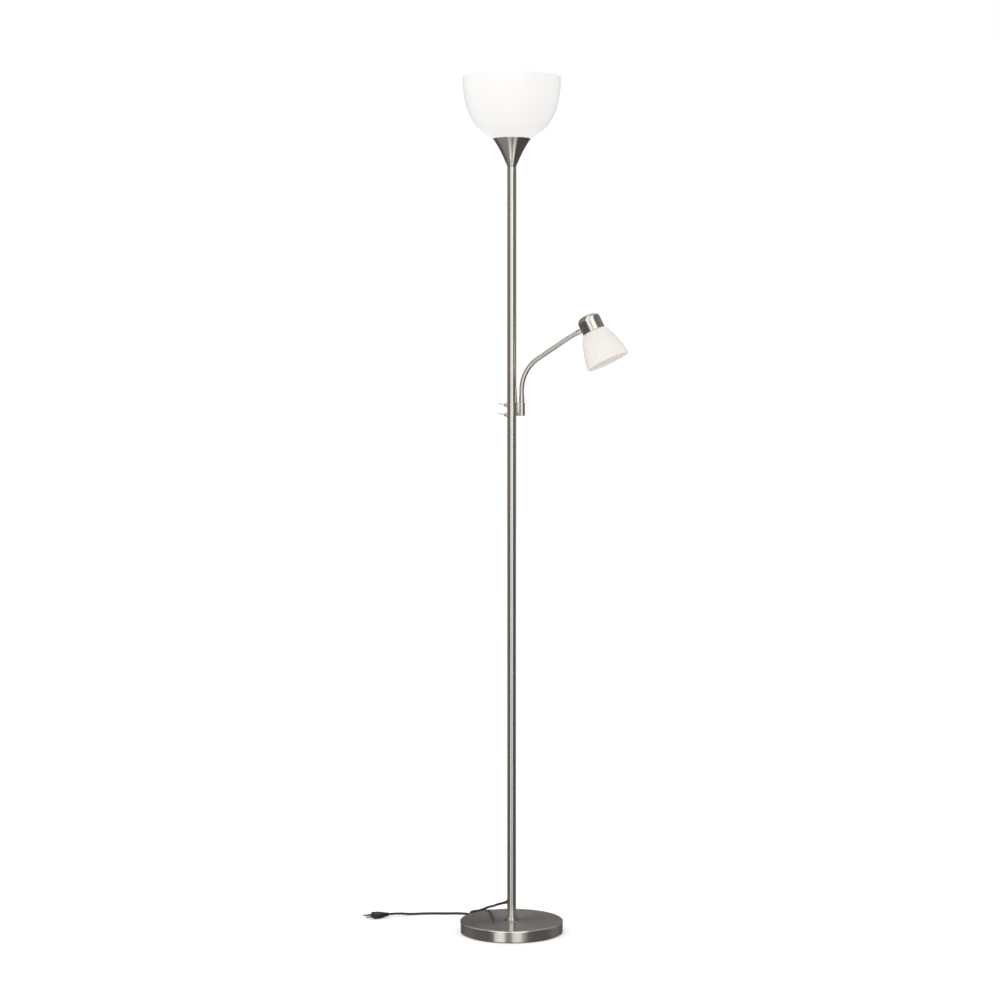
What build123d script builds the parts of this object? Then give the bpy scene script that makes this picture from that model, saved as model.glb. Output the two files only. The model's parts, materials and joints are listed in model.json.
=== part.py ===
from build123d import *
from math import asin, cos, pi, radians, sin, sqrt, tan
import os

os.makedirs("parts", exist_ok=True)

# Torchiere floor lamp with a flexible reading light.
# Millimetres. The origin is on the floor at the centre of the base, +Z up, front towards -Y.

# ---- fits ----
FIT = 0.05            # radial gap where one piece sits in another
SEAT = 0.1            # gap left where two faces would only just touch

# ---- base ----
BASE_RADIUS = 109.3
BASE_TOP = 25.1
COVER_WALL = 1.2
COVER_EDGE = 2.4
FELT_THICK = 2.0
FELT_INSET = 4.0      # the felt is smaller than the cover by this
PLATE_THICK = 2.0
WEIGHT_GAP = 0.6      # between the weight and the cover
POCKET_RADIUS = 18.0
POCKET_DEPTH = 9.0
NIPPLE_RADIUS = 5.0
NIPPLE_BORE = 3.5
NUT_FLATS = 17.0
NUT_THICK = 5.0
WASHER_RADIUS = 14.0
WASHER_THICK = 1.5

# ---- pole ----
POLE_RADIUS = 9.5
POLE_WALL = 1.0
TUBE_LENGTH = 529.0   # each of the three tubes
COUPLER_LENGTH = 40.0
COUPLER_WALL = 1.5
COUPLER_ABOVE = 5.0   # the couplers reach this far into the tube above, below the switches
PLUG_LENGTH = 20.0    # threaded inserts in the pole's two ends
COLLAR_RADIUS = POLE_RADIUS + 6.0
COLLAR_TOP_RADIUS = POLE_RADIUS + 1.1
COLLAR_HEIGHT = 9.0
COLLAR_LIP = 1.0

# ---- cord ----
CORD = 5.0            # diameter
CORD_EXIT_HEIGHT = BASE_TOP + 37.4
CORD_EXIT_ANGLE = 140.0
CORD_EXIT_SLOPE = 0.33
RELIEF_LENGTH = 18.0
RELIEF_RADIUS = CORD / 2 + 0.8
FLANGE_RADIUS = CORD / 2 + 3.0
FLANGE_THICK = 1.2
WIRE_RADIUS = 1.5
FLOOR_GAP = 0.1       # left under what lies on the floor

# ---- bracket of the reading arm ----
BRACKET_ABOVE = 10.4   # the bracket's foot is this far above the pole's upper joint
BRACKET_HEIGHT = 28.0
SADDLE_WALL = 3.0
SADDLE_HALF_ANGLE = 75.0
TONGUE_HEIGHT = 32.0
TONGUE_HALF_ANGLE = 38.0
TONGUE_WALL = 1.6
TONGUE_TAPER = 0.45   # width at its top, as a share of that at its foot
SOCKET_AXIS = POLE_RADIUS + 11.4
SOCKET_RADIUS = 6.8
WEB_WIDTH = 9.0
SPIGOT_RADIUS = 4.4
SPIGOT_FLOOR = 10.0   # height of the socket's inner floor above its bottom
SPIGOT_FLOOR_THICK = 3.0
STEM_RADIUS = 3.0
CAVITY_RADIUS = 5.6
BRACKET_NIPPLE_RADIUS = 2.5
BRACKET_NIPPLE_BORE = 1.5
BRACKET_NIPPLE_HEIGHT = 4.4
BRACKET_NUT_FLATS = 8.0
BRACKET_NUT_THICK = 2.4
SOCKET_CAP_THICK = 1.2
RUNNING = 0.06        # radial clearance of turning fits

# ---- neck ----
NECK_RADIUS = 4.9
NECK_BORE = 3.0
NECK_TURN = 18.35     # the neck's plane is turned this much towards the front
NECK_RISE = 25.6      # upright stretch above the bracket
NECK_BEND = 78.0
NECK_BEND_ANGLE = 57.2
NECK_STRAIGHT = 70.0
NECK_END_BEND = 250.0
NECK_LAST_STRAIGHT = 11.0
HEAD_TILT = 26.0      # the head's axis from the vertical
NECK_BASE_GAP = 0.4   # between the bracket's socket and the neck's base
NECK_BASE_LENGTH = 13.0
FERRULE_RADIUS = NECK_RADIUS + 0.5
FERRULE_BORE = NECK_BORE - 0.6
NECK_NUT_THICK = 2.5
NECK_WASHER_THICK = 0.8
NECK_SEGMENTS = 6
SEGMENT_GAP = 1.4
NECK_END_LENGTH = 12.0

# ---- head ----
CUP_RADIUS = 24.0
CUP_LENGTH = 36.5
CUP_CORNER = 13.0
CUP_WALL = 1.2
CUP_DOME = 1.5        # rise of the cup's crown
CUP_ENTRY = 12.7      # the neck enters this far above the cup's mouth
ENTRY_RADIUS = 3.9    # hollow screw that holds the neck in the cup
ENTRY_NUT_FLATS = 12.0
ENTRY_NUT_THICK = 3.0
SHADE_OUTLINE = [(0.0, 23.6), (5.0, 27.6), (11.0, 31.0), (29.0, 37.2), (48.0, 42.6), (70.0, 46.3)]
SHADE_WALL = 2.5
SHADE_HOLE = 14.0
SHADE_GAP = 0.3       # between the cup's mouth and the shade
RING_THICK = 4.0
SMALL_HOLDER_TOP = 30.0
SMALL_FLANGE = 4.0
SMALL_SOCKET_DEPTH = 14.0
SMALL_BULB_RADIUS = 22.5
SMALL_BULB_LENGTH = 78.0
SMALL_CAP_RADIUS = 6.8
SMALL_CAP_LENGTH = 24.0
CAP_CLEARANCE = 0.3   # between a bulb's cap and its holder

# ---- top cap and bowl ----
CAP_RADIUS = 39.5
CAP_HEIGHT = 58.9
CAP_WALL = 1.0
CAP_WAIST_RADIUS = 20.3
CAP_WAIST_HEIGHT = 26.7
CAP_FLOOR = 2.0
CAP_NUT_ROOM = 1.5    # from the nut's flats to the inside of the cap's foot
CAP_NUT_FLATS = 2 * (POLE_RADIUS - CAP_WALL - CAP_NUT_ROOM)
CAP_NUT_THICK = 4.0
BOWL_RADIUS = 102.2
BOWL_DEPTH = 128.5
BOWL_POWER_DEPTH = 2.26
BOWL_POWER_RADIUS = 2.69
BOWL_WALL = 3.0
BOWL_CONE_TOP = 10.0  # the outline is a cone below this height over the cap
BOWL_HOLE = 20.5
HOLDER_FLANGE = 24.0
HOLDER_HEIGHT = 38.0
HOLDER_DROP = 11.0    # the holder starts this far below the bowl
HOLDER_SOCKET = 10.0  # the bulb's socket starts this far above the bowl's base
HOLDER_RADIUS = BOWL_HOLE - 0.6
NIPPLE_IN_HOLDER = 6.0
BULB_RADIUS = 30.0
BULB_LENGTH = 110.0
BULB_CAP_RADIUS = 13.2
BULB_CAP_LENGTH = 27.0
BULB_WALL = 1.2
BULB_VENT = 1.5

# ---- switches ----
UPPER_SWITCH_ABOVE = 22.5   # above the bracket's foot
LOWER_SWITCH_ABOVE = 2.0
SWITCH_BODY = (8.4, 6.6, 12.2)
BUSHING_RADIUS = 3.1
BUSHING_BORE = 2.1
BUSHING_TIP = POLE_RADIUS + 7.0
SWITCH_PIVOT = POLE_RADIUS + 4.1
SWITCH_NUT_FLATS = 8.0
SWITCH_NUT_THICK = 2.0
LEVER_LENGTH = 12.6
LEVER_TILT = 14.0
LEVER_ROOT = 0.95
LEVER_TIP = 1.5
LEVER_BALL = 1.5
PIVOT_PIN = 0.5

# ---- hank ----
HANK_PITCH = CORD + 1.2
HANK_INNER = 3 * CORD
HANK_RUN = 76.0
HANK_DRAW = 9.0
HANK_LOW = CORD / 2 + 0.7
HANK_LAYER = CORD + 0.7
HANK_TOP_TURNS = 3    # half turns in the top layer
HANK_LOW_TURNS = 5
HANK_WIDEST = HANK_INNER + HANK_PITCH / 2 * (HANK_LOW_TURNS - 1)
HANK_TUCK = 0.7       # its end turns pass the line of the base's back edge by this, beside the base
HANK_CENTRE = (-6.2, BASE_RADIUS + HANK_WIDEST + CORD / 2 - HANK_TUCK)
HANK_LEAVES = 45.0
HANK_APPROACH = 23.2  # last run of the cord before the hank
HANK_DEPARTURE = 11.0
FIRST_RUN = 15.0      # first run of the cord after the strain relief
TIE_THICK = 0.5
TIE_WIDTH = 7.0

# ---- plug ----
PLUG_LENGTH_BODY = 36.0
PLUG_WIDTH = 26.0
PLUG_TAIL_WIDTH = 12.0
PLUG_THICK = 12.6
PIN_RADIUS = 2.0
PIN_LENGTH = 19.0
PIN_SPACING = 18.6
PLUG_REST = PLUG_THICK / 2 + FLOOR_GAP
CORD_REST = CORD / 2 + FLOOR_GAP

# ---- places worked out from the sizes above ----
PLATE_BOTTOM = FELT_THICK
WEIGHT_BOTTOM = PLATE_BOTTOM + PLATE_THICK
WEIGHT_TOP = BASE_TOP - COVER_WALL - WEIGHT_GAP
COVER_INNER = BASE_RADIUS - COVER_WALL
POCKET_TOP = WEIGHT_BOTTOM + POCKET_DEPTH
POLE_INNER = POLE_RADIUS - POLE_WALL
LOWER_JOINT = BASE_TOP + TUBE_LENGTH
UPPER_JOINT = LOWER_JOINT + TUBE_LENGTH
POLE_TOP = UPPER_JOINT + TUBE_LENGTH - SEAT
BRACKET_LOW = UPPER_JOINT + BRACKET_ABOVE
BRACKET_TOP = BRACKET_LOW + BRACKET_HEIGHT
SWITCH_HEIGHTS = (BRACKET_LOW + UPPER_SWITCH_ABOVE, BRACKET_LOW + LOWER_SWITCH_ABOVE)
CAP_TOP = POLE_TOP + CAP_HEIGHT
BOWL_BASE = CAP_TOP + SEAT
BOWL_RIM = BOWL_BASE + BOWL_DEPTH


def cylinder(radius, low, high):
    """Upright cylinder on the Z axis between two heights."""
    return Pos(0, 0, low) * Cylinder(radius, high - low, align=(Align.CENTER, Align.CENTER, Align.MIN))


def ring(outer, inner, low, high):
    """Upright tube on the Z axis between two heights."""
    return cylinder(outer, low, high) - cylinder(inner, low - 1, high + 1)


def turned(edges):
    """Solid turned about Z from a closed outline of (radius, 0, height) edges."""
    return revolve(make_face(edges), Axis.Z)


def hexagon(flats, low, high, bore):
    """Hexagon nut on the Z axis."""
    body = extrude(Pos(0, 0, low) * RegularPolygon(flats / 2, 6, major_radius=False), high - low)
    return body - cylinder(bore, low - 1, high + 1)


def write(name, shape):
    """Write one node."""
    shape.label = name
    export_step(shape, f"parts/{name}.step")


# ---- base ----

def base_parts():
    """Felt, bottom plate, weight, spun cover and what clamps them to the pole."""
    write("felt_pad", cylinder(BASE_RADIUS - FELT_INSET, 0, FELT_THICK))
    plate = ring(COVER_INNER - FIT, POCKET_RADIUS, PLATE_BOTTOM, WEIGHT_BOTTOM)
    write("base_plate", plate)
    weight = ring(COVER_INNER - WEIGHT_GAP, NIPPLE_RADIUS + FIT, WEIGHT_BOTTOM, WEIGHT_TOP)
    weight -= cylinder(POCKET_RADIUS, WEIGHT_BOTTOM - 1, POCKET_TOP)
    top_edge = weight.edges().group_by(Axis.Z)[-1].sort_by(SortBy.LENGTH)[-1]
    write("base_weight", fillet(top_edge, COVER_EDGE))
    cover = cylinder(BASE_RADIUS, PLATE_BOTTOM, BASE_TOP)
    cover = fillet(cover.edges().group_by(Axis.Z)[-1], COVER_EDGE)
    hollow = cylinder(COVER_INNER, PLATE_BOTTOM - 1, BASE_TOP - COVER_WALL)
    hollow = fillet(hollow.edges().group_by(Axis.Z)[-1], COVER_EDGE - COVER_WALL)
    bore = cylinder(NIPPLE_RADIUS + FIT, 0, BASE_TOP + 1)
    write("base_cover", cover - hollow - bore)
    washer_low = POCKET_TOP - WASHER_THICK
    write("foot_washer", ring(WASHER_RADIUS, NIPPLE_RADIUS + FIT, washer_low, POCKET_TOP))
    nut_low = washer_low - NUT_THICK
    write("foot_nut", hexagon(NUT_FLATS, nut_low, washer_low, NIPPLE_RADIUS))
    nipple_top = BASE_TOP + PLUG_LENGTH
    write("foot_nipple", ring(NIPPLE_RADIUS, NIPPLE_BORE, nut_low, nipple_top))
    plug = ring(POLE_INNER - FIT, NIPPLE_RADIUS + FIT, BASE_TOP, nipple_top)
    write("foot_plug", plug)


def foot_collar():
    """Flared collar that hides where the pole meets the base."""
    bore = POLE_RADIUS + FIT
    top = BASE_TOP + COLLAR_HEIGHT
    flare = ThreePointArc(
        (COLLAR_RADIUS, 0, BASE_TOP + COLLAR_LIP),
        (COLLAR_TOP_RADIUS + 0.28 * (COLLAR_RADIUS - COLLAR_TOP_RADIUS), 0, BASE_TOP + 0.42 * COLLAR_HEIGHT),
        (COLLAR_TOP_RADIUS, 0, top),
    )
    sides = Polyline(
        (COLLAR_TOP_RADIUS, 0, top),
        (bore, 0, top),
        (bore, 0, BASE_TOP),
        (COLLAR_RADIUS, 0, BASE_TOP),
        (COLLAR_RADIUS, 0, BASE_TOP + COLLAR_LIP),
    )
    write("foot_collar", turned(flare + sides))


# ---- pole ----

def side_hole(radius, angle, height):
    """Round cutter through the pole's wall, towards an angle in plan."""
    out = Vector(cos(radians(angle)), sin(radians(angle)), 0)
    place = Plane(origin=(0, 0, height), z_dir=out)
    return place * Pos(0, 0, POLE_RADIUS / 2) * Cylinder(radius, POLE_RADIUS * 1.6, align=Align.CENTER)


def pole_parts():
    """Three tubes, the couplers inside them and the threaded plug at the top."""
    lower = ring(POLE_RADIUS, POLE_INNER, BASE_TOP, LOWER_JOINT)
    lower -= side_hole(RELIEF_RADIUS + FIT, CORD_EXIT_ANGLE, CORD_EXIT_HEIGHT)
    write("lower_pole", lower)
    middle = ring(POLE_RADIUS, POLE_INNER, LOWER_JOINT, UPPER_JOINT)
    write("middle_pole", middle)
    upper = ring(POLE_RADIUS, POLE_INNER, UPPER_JOINT, POLE_TOP)
    for height in SWITCH_HEIGHTS:
        upper -= side_hole(BUSHING_RADIUS + FIT, 180, height)
    upper -= side_hole(BRACKET_NIPPLE_RADIUS + FIT, 0, BRACKET_LOW + BRACKET_NIPPLE_HEIGHT)
    write("upper_pole", upper)
    coupler_outer = POLE_INNER - FIT
    coupler_inner = coupler_outer - COUPLER_WALL
    for name, joint in (("lower_coupler", LOWER_JOINT), ("upper_coupler", UPPER_JOINT)):
        low = joint - COUPLER_LENGTH + COUPLER_ABOVE
        write(name, ring(coupler_outer, coupler_inner, low, low + COUPLER_LENGTH))
    top_plug = ring(POLE_INNER - FIT, NIPPLE_RADIUS + FIT, POLE_TOP - PLUG_LENGTH, POLE_TOP)
    write("top_coupler", top_plug)


# ---- top cap and bowl ----

def cap_and_nipple():
    """Flared cap on the pole's end, held by a nut on the hollow threaded tube."""
    waist = POLE_TOP + CAP_WAIST_HEIGHT
    outer = ThreePointArc((POLE_RADIUS, 0, POLE_TOP), (CAP_WAIST_RADIUS, 0, waist), (CAP_RADIUS, 0, CAP_TOP))
    inner_low = POLE_TOP + CAP_FLOOR
    inner_foot = outer.position_at(0.035).X - CAP_WALL
    inner = ThreePointArc(
        (inner_foot, 0, inner_low),
        (CAP_WAIST_RADIUS - CAP_WALL, 0, waist + CAP_WALL / 2),
        (CAP_RADIUS - CAP_WALL, 0, CAP_TOP),
    )
    bore = NIPPLE_RADIUS + FIT
    rim = Line((CAP_RADIUS, 0, CAP_TOP), (CAP_RADIUS - CAP_WALL, 0, CAP_TOP))
    foot = Polyline(
        (inner_foot, 0, inner_low),
        (bore, 0, inner_low),
        (bore, 0, POLE_TOP),
        (POLE_RADIUS, 0, POLE_TOP),
    )
    write("bowl_cap", turned(outer + rim + inner + foot))
    write("bowl_cap_nut", hexagon(CAP_NUT_FLATS, inner_low, inner_low + CAP_NUT_THICK, NIPPLE_RADIUS))
    nipple_top = BOWL_BASE - HOLDER_DROP + NIPPLE_IN_HOLDER
    write("bowl_nipple", ring(NIPPLE_RADIUS, NIPPLE_BORE, POLE_TOP - PLUG_LENGTH + 2, nipple_top))


def bowl_radius(height, radius, depth):
    """Radius of the bowl's outline at a height, for a given rim radius and depth."""
    share = (BOWL_RIM - height) / depth
    return radius * (1 - share ** BOWL_POWER_DEPTH) ** (1 / BOWL_POWER_RADIUS)


def bowl_shade():
    """Opal glass bowl, open at the top, with a flat seat on the cap's rim."""
    cone_top = BOWL_BASE + BOWL_CONE_TOP
    inner_cone_top = cone_top + BOWL_WALL
    steps = 8
    outer_points = []
    inner_points = []
    for i in range(steps + 1):
        share = (i / steps) ** 1.5
        outer_z = cone_top + (BOWL_RIM - cone_top) * share
        inner_z = inner_cone_top + (BOWL_RIM - inner_cone_top) * share
        outer_points.append((bowl_radius(outer_z, BOWL_RADIUS, BOWL_DEPTH), 0, outer_z))
        inner_r = bowl_radius(inner_z, BOWL_RADIUS - BOWL_WALL, BOWL_DEPTH - BOWL_WALL)
        inner_points.append((inner_r, 0, inner_z))
    seat = CAP_RADIUS - 0.1
    floor_top = BOWL_BASE + BOWL_WALL
    outer = Spline(*outer_points)
    inner = Spline(*inner_points)
    lower = Polyline((BOWL_HOLE, 0, BOWL_BASE), (seat, 0, BOWL_BASE), outer_points[0])
    rim = Line(outer_points[-1], inner_points[-1])
    upper = Polyline(
        inner_points[0],
        (seat - 1, 0, floor_top),
        (BOWL_HOLE, 0, floor_top),
        (BOWL_HOLE, 0, BOWL_BASE),
    )
    write("bowl_shade", turned(lower + outer + rim + inner + upper))


def bulb(radius, length, cap_radius, cap_length):
    """Round hollow lamp standing on Z = 0: screw cap, neck and globe, with a vent hole in the cap."""
    def envelope(inset):
        centre = length - radius
        globe_radius = radius - inset
        neck_angle = radians(50)
        touch = (globe_radius * sin(neck_angle), 0, centre - globe_radius * cos(neck_angle))
        top = (0, 0, length - inset)
        side = cap_radius - inset
        globe = ThreePointArc(touch, (globe_radius, 0, centre), top)
        neck = Polyline(touch, (side, 0, cap_length), (side, 0, inset), (0, 0, inset), top)
        return turned(neck + globe)

    return envelope(0) - envelope(BULB_WALL) - cylinder(BULB_VENT, -1, BULB_WALL + 1)


def bowl_lamp():
    """Large lampholder with its shade ring, and the bulb in it."""
    low = BOWL_BASE - HOLDER_DROP
    top = BOWL_BASE + HOLDER_HEIGHT
    body = cylinder(HOLDER_FLANGE, low, BOWL_BASE - SEAT) + cylinder(HOLDER_RADIUS, low, top)
    socket_low = BOWL_BASE + HOLDER_SOCKET
    body -= cylinder(BULB_CAP_RADIUS + CAP_CLEARANCE, socket_low, top + 1)
    body -= cylinder(NIPPLE_RADIUS + FIT, low - 1, low + NIPPLE_IN_HOLDER)
    body -= cylinder(WIRE_RADIUS + 1, low, socket_low + 1)
    write("bowl_lampholder", body)
    ring_low = BOWL_BASE + BOWL_WALL + SEAT
    write("bowl_shade_ring", ring(BOWL_HOLE + 7.5, HOLDER_RADIUS + FIT, ring_low, ring_low + 6.5))
    lamp = bulb(BULB_RADIUS, BULB_LENGTH, BULB_CAP_RADIUS, BULB_CAP_LENGTH)
    write("bowl_bulb", Pos(0, 0, socket_low + SEAT) * lamp)


# ---- bracket ----

def sector(outer, inner, low, high, half_angle):
    """Part of an upright tube, within an angle to each side of +X."""
    reach = outer * 3
    side = (reach * cos(radians(half_angle)), reach * sin(radians(half_angle)))
    wedge = Polygon((0, 0), (side[0], -side[1]), (reach, -reach), (reach, reach), side, align=None)
    return ring(outer, inner, low, high) & extrude(Pos(0, 0, low) * wedge, high - low)


def bracket_parts():
    """Saddle on the pole with an upright socket, the hollow screw and its nut."""
    inner = POLE_RADIUS + FIT
    outer = inner + SADDLE_WALL
    body = sector(outer, inner, BRACKET_LOW, BRACKET_TOP, SADDLE_HALF_ANGLE)
    body += tongue(inner)
    web = Pos((outer - 1 + SOCKET_AXIS) / 2, 0, BRACKET_LOW + BRACKET_HEIGHT / 2)
    body += web * Box(SOCKET_AXIS - outer + 1, WEB_WIDTH, BRACKET_HEIGHT)
    body += Pos(SOCKET_AXIS, 0, 0) * cylinder(SOCKET_RADIUS, BRACKET_LOW, BRACKET_TOP)
    floor = BRACKET_LOW + SPIGOT_FLOOR
    bores = cylinder(SPIGOT_RADIUS + RUNNING, floor, BRACKET_TOP + 1)
    bores += cylinder(STEM_RADIUS + RUNNING, BRACKET_LOW, BRACKET_TOP)
    bores += cylinder(CAVITY_RADIUS, BRACKET_LOW - 1, floor - SPIGOT_FLOOR_THICK)
    body -= Pos(SOCKET_AXIS, 0, 0) * bores
    nipple_height = BRACKET_LOW + BRACKET_NIPPLE_HEIGHT
    cavity_wall = SOCKET_AXIS - CAVITY_RADIUS
    along = Plane(origin=(0, 0, nipple_height), z_dir=(1, 0, 0))
    body -= along * cylinder(BRACKET_NIPPLE_RADIUS + FIT, inner - 2, cavity_wall + 2)
    write("neck_bracket", body)
    nut_outer = sqrt(POLE_INNER ** 2 - (BRACKET_NUT_FLATS / 2) ** 2) - SEAT
    nipple = ring(BRACKET_NIPPLE_RADIUS, BRACKET_NIPPLE_BORE, nut_outer - 3, cavity_wall)
    write("bracket_nipple", along * nipple)
    nut = hexagon(BRACKET_NUT_FLATS, nut_outer - BRACKET_NUT_THICK, nut_outer, BRACKET_NIPPLE_RADIUS)
    write("bracket_nut", along * nut)
    cap = Pos(SOCKET_AXIS, 0, 0) * cylinder(CAVITY_RADIUS - FIT, BRACKET_LOW, BRACKET_LOW + SOCKET_CAP_THICK)
    write("socket_cap", cap)


def tongue(inner):
    """Slim tapering tongue of the saddle that lies up along the pole."""
    outer = inner + TONGUE_WALL
    top = BRACKET_TOP + TONGUE_HEIGHT
    shell = sector(outer, inner, BRACKET_TOP - 1, top, TONGUE_HALF_ANGLE)
    half_low = outer * sin(radians(TONGUE_HALF_ANGLE))
    side = Plane(origin=(0, 0, 0), x_dir=(0, 1, 0), z_dir=(1, 0, 0))
    shape = Polygon(
        (-half_low, BRACKET_TOP - 1),
        (half_low, BRACKET_TOP - 1),
        (half_low * TONGUE_TAPER, top),
        (-half_low * TONGUE_TAPER, top),
        align=None,
    )
    return shell & (side * extrude(shape, outer + 5))


# ---- neck ----

def neck_vector(along, up):
    """Direction in the neck's plane, from its horizontal and upward parts."""
    turn = radians(NECK_TURN)
    return Vector(along * cos(turn), -along * sin(turn), up)


def neck_place(along, height):
    """Point in the neck's plane, from the socket's axis and the floor."""
    return Vector(SOCKET_AXIS, 0, 0) + neck_vector(along, height)


NECK_END_BEND_ANGLE = 90 - NECK_BEND_ANGLE - HEAD_TILT
NECK_SPANS = [
    ("line", NECK_RISE, 0),
    ("arc", NECK_BEND * radians(NECK_BEND_ANGLE), NECK_BEND),
    ("line", NECK_STRAIGHT, 0),
    ("arc", NECK_END_BEND * radians(NECK_END_BEND_ANGLE), NECK_END_BEND),
    ("line", 60.0, 0),
]


def neck_state(distance):
    """Place (along, height) and heading from the vertical, at a distance along the neck."""
    along, height, heading = 0.0, BRACKET_TOP + NECK_BASE_GAP, 0.0
    left = distance
    for kind, length, radius in NECK_SPANS:
        step = min(left, length)
        if kind == "line":
            along += step * sin(heading)
            height += step * cos(heading)
        else:
            turn = step / radius
            along += radius * (cos(heading) - cos(heading + turn))
            height += radius * (sin(heading + turn) - sin(heading))
            heading += turn
        left -= step
        if left <= 0:
            break
    return along, height, heading


def neck_point(distance):
    along, height, _ = neck_state(distance)
    return neck_place(along, height)


def neck_direction(distance):
    heading = neck_state(distance)[2]
    return neck_vector(sin(heading), cos(heading))


def neck_path(start, end):
    """Wire along the neck's centre line between two distances."""
    edges = []
    reached = 0.0
    for kind, length, _ in NECK_SPANS:
        low = max(start, reached)
        high = min(end, reached + length)
        reached += length
        if high - low < 0.01:
            continue
        if kind == "line":
            edges.append(Edge.make_line(neck_point(low), neck_point(high)))
        else:
            middle = neck_point((low + high) / 2)
            edges.append(Edge.make_three_point_arc(neck_point(low), middle, neck_point(high)))
    return Wire(edges)


def neck_tube(start, end, outer, inner):
    """Hollow stretch of the neck between two distances."""
    path = neck_path(start, end)
    face = Plane(origin=neck_point(start), z_dir=neck_direction(start)) * (Circle(outer) - Circle(inner))
    return sweep(face, path=path)


def neck_wall_distance():
    """Distance along the neck at which it meets the head cup's wall."""
    straight_start = sum(length for _, length, _ in NECK_SPANS[:-1])
    return straight_start + NECK_LAST_STRAIGHT


def neck_parts():
    """Turning base with its stem, six segments and the end ferrule."""
    washer_top = BRACKET_LOW + SPIGOT_FLOOR - SPIGOT_FLOOR_THICK - SEAT
    washer_low = washer_top - NECK_WASHER_THICK
    stem_low = washer_low - NECK_NUT_THICK
    spigot_low = BRACKET_LOW + SPIGOT_FLOOR + SEAT
    collar_low = BRACKET_TOP + NECK_BASE_GAP
    base = cylinder(SPIGOT_RADIUS, spigot_low, collar_low)
    base += cylinder(STEM_RADIUS, stem_low, spigot_low)
    base += cylinder(FERRULE_RADIUS, collar_low, collar_low + NECK_BASE_LENGTH)
    base -= cylinder(NECK_BORE / 2, stem_low - 1, collar_low + NECK_BASE_LENGTH + 1)
    write("neck_base", Pos(SOCKET_AXIS, 0, 0) * base)
    washer = ring(CAVITY_RADIUS - 0.4, STEM_RADIUS + FIT, washer_low, washer_top)
    write("neck_washer", Pos(SOCKET_AXIS, 0, 0) * washer)
    nut = ring(CAVITY_RADIUS - 0.8, STEM_RADIUS, stem_low, washer_low)
    write("neck_nut", Pos(SOCKET_AXIS, 0, 0) * nut)
    end = neck_wall_distance() - NECK_END_LENGTH
    pitch = (end - NECK_BASE_LENGTH + SEGMENT_GAP) / NECK_SEGMENTS
    for i in range(NECK_SEGMENTS):
        start = NECK_BASE_LENGTH + i * pitch
        write(f"neck_segment_{i + 1}", neck_tube(start, start + pitch - SEGMENT_GAP, NECK_RADIUS, NECK_BORE))
        if i > 0:
            hinge = neck_point(start - SEGMENT_GAP / 2)
            print(f"neck hinge {i}: {hinge.X:.2f} {hinge.Y:.2f} {hinge.Z:.2f}")
    wall = neck_wall_distance()
    shoulder = wall - 0.4
    inside = CUP_RADIUS - SHADE_HOLE - 3
    ferrule = neck_tube(end, shoulder, FERRULE_RADIUS, FERRULE_BORE)
    ferrule += neck_tube(shoulder - 0.2, wall + inside, ENTRY_RADIUS, FERRULE_BORE)
    write("neck_end", ferrule)


# ---- head ----

def head_plane():
    """Frame of the head: origin in the cup's mouth, Z towards the shade's mouth, -X towards the neck."""
    tilt = radians(HEAD_TILT)
    wall_along, wall_height, _ = neck_state(neck_wall_distance())
    reach = CUP_RADIUS
    along = wall_along + reach * cos(tilt) + CUP_ENTRY * sin(tilt)
    height = wall_height + reach * sin(tilt) - CUP_ENTRY * cos(tilt)
    outward = neck_vector(cos(tilt), sin(tilt))
    down = neck_vector(sin(tilt), -cos(tilt))
    return Plane(origin=neck_place(along, height), x_dir=outward, z_dir=down)


def head_cup():
    """Domed cup that the neck enters from the side."""
    def profile(radius, top, corner):
        side = Line((radius, 0, 0), (radius, 0, -top + corner))
        rise = corner - CUP_DOME
        centre = (radius - corner, 0, -top + corner)
        bend = ThreePointArc(
            (radius, 0, centre[2]),
            (centre[0] + corner * cos(radians(40)), 0, centre[2] - rise * sin(radians(40))),
            (centre[0] + corner * cos(radians(80)), 0, centre[2] - rise * sin(radians(80))),
        )
        crown = Line(bend @ 1, (0, 0, -top))
        back = Polyline((0, 0, -top), (0, 0, 0), (radius, 0, 0))
        return side + bend + crown + back

    cup = turned(profile(CUP_RADIUS, CUP_LENGTH, CUP_CORNER))
    cup -= turned(profile(CUP_RADIUS - CUP_WALL, CUP_LENGTH - CUP_WALL, CUP_CORNER - CUP_WALL))
    entry = Plane(origin=(0, 0, -CUP_ENTRY), z_dir=(-1, 0, 0))
    cup -= entry * cylinder(ENTRY_RADIUS + FIT, CUP_RADIUS - 6, CUP_RADIUS + 3)
    write("head_cup", head_plane() * cup)
    nut_face = CUP_RADIUS - CUP_WALL - 1.0
    nut = entry * hexagon(ENTRY_NUT_FLATS, nut_face - ENTRY_NUT_THICK, nut_face, ENTRY_RADIUS)
    write("neck_end_nut", head_plane() * nut)


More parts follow.
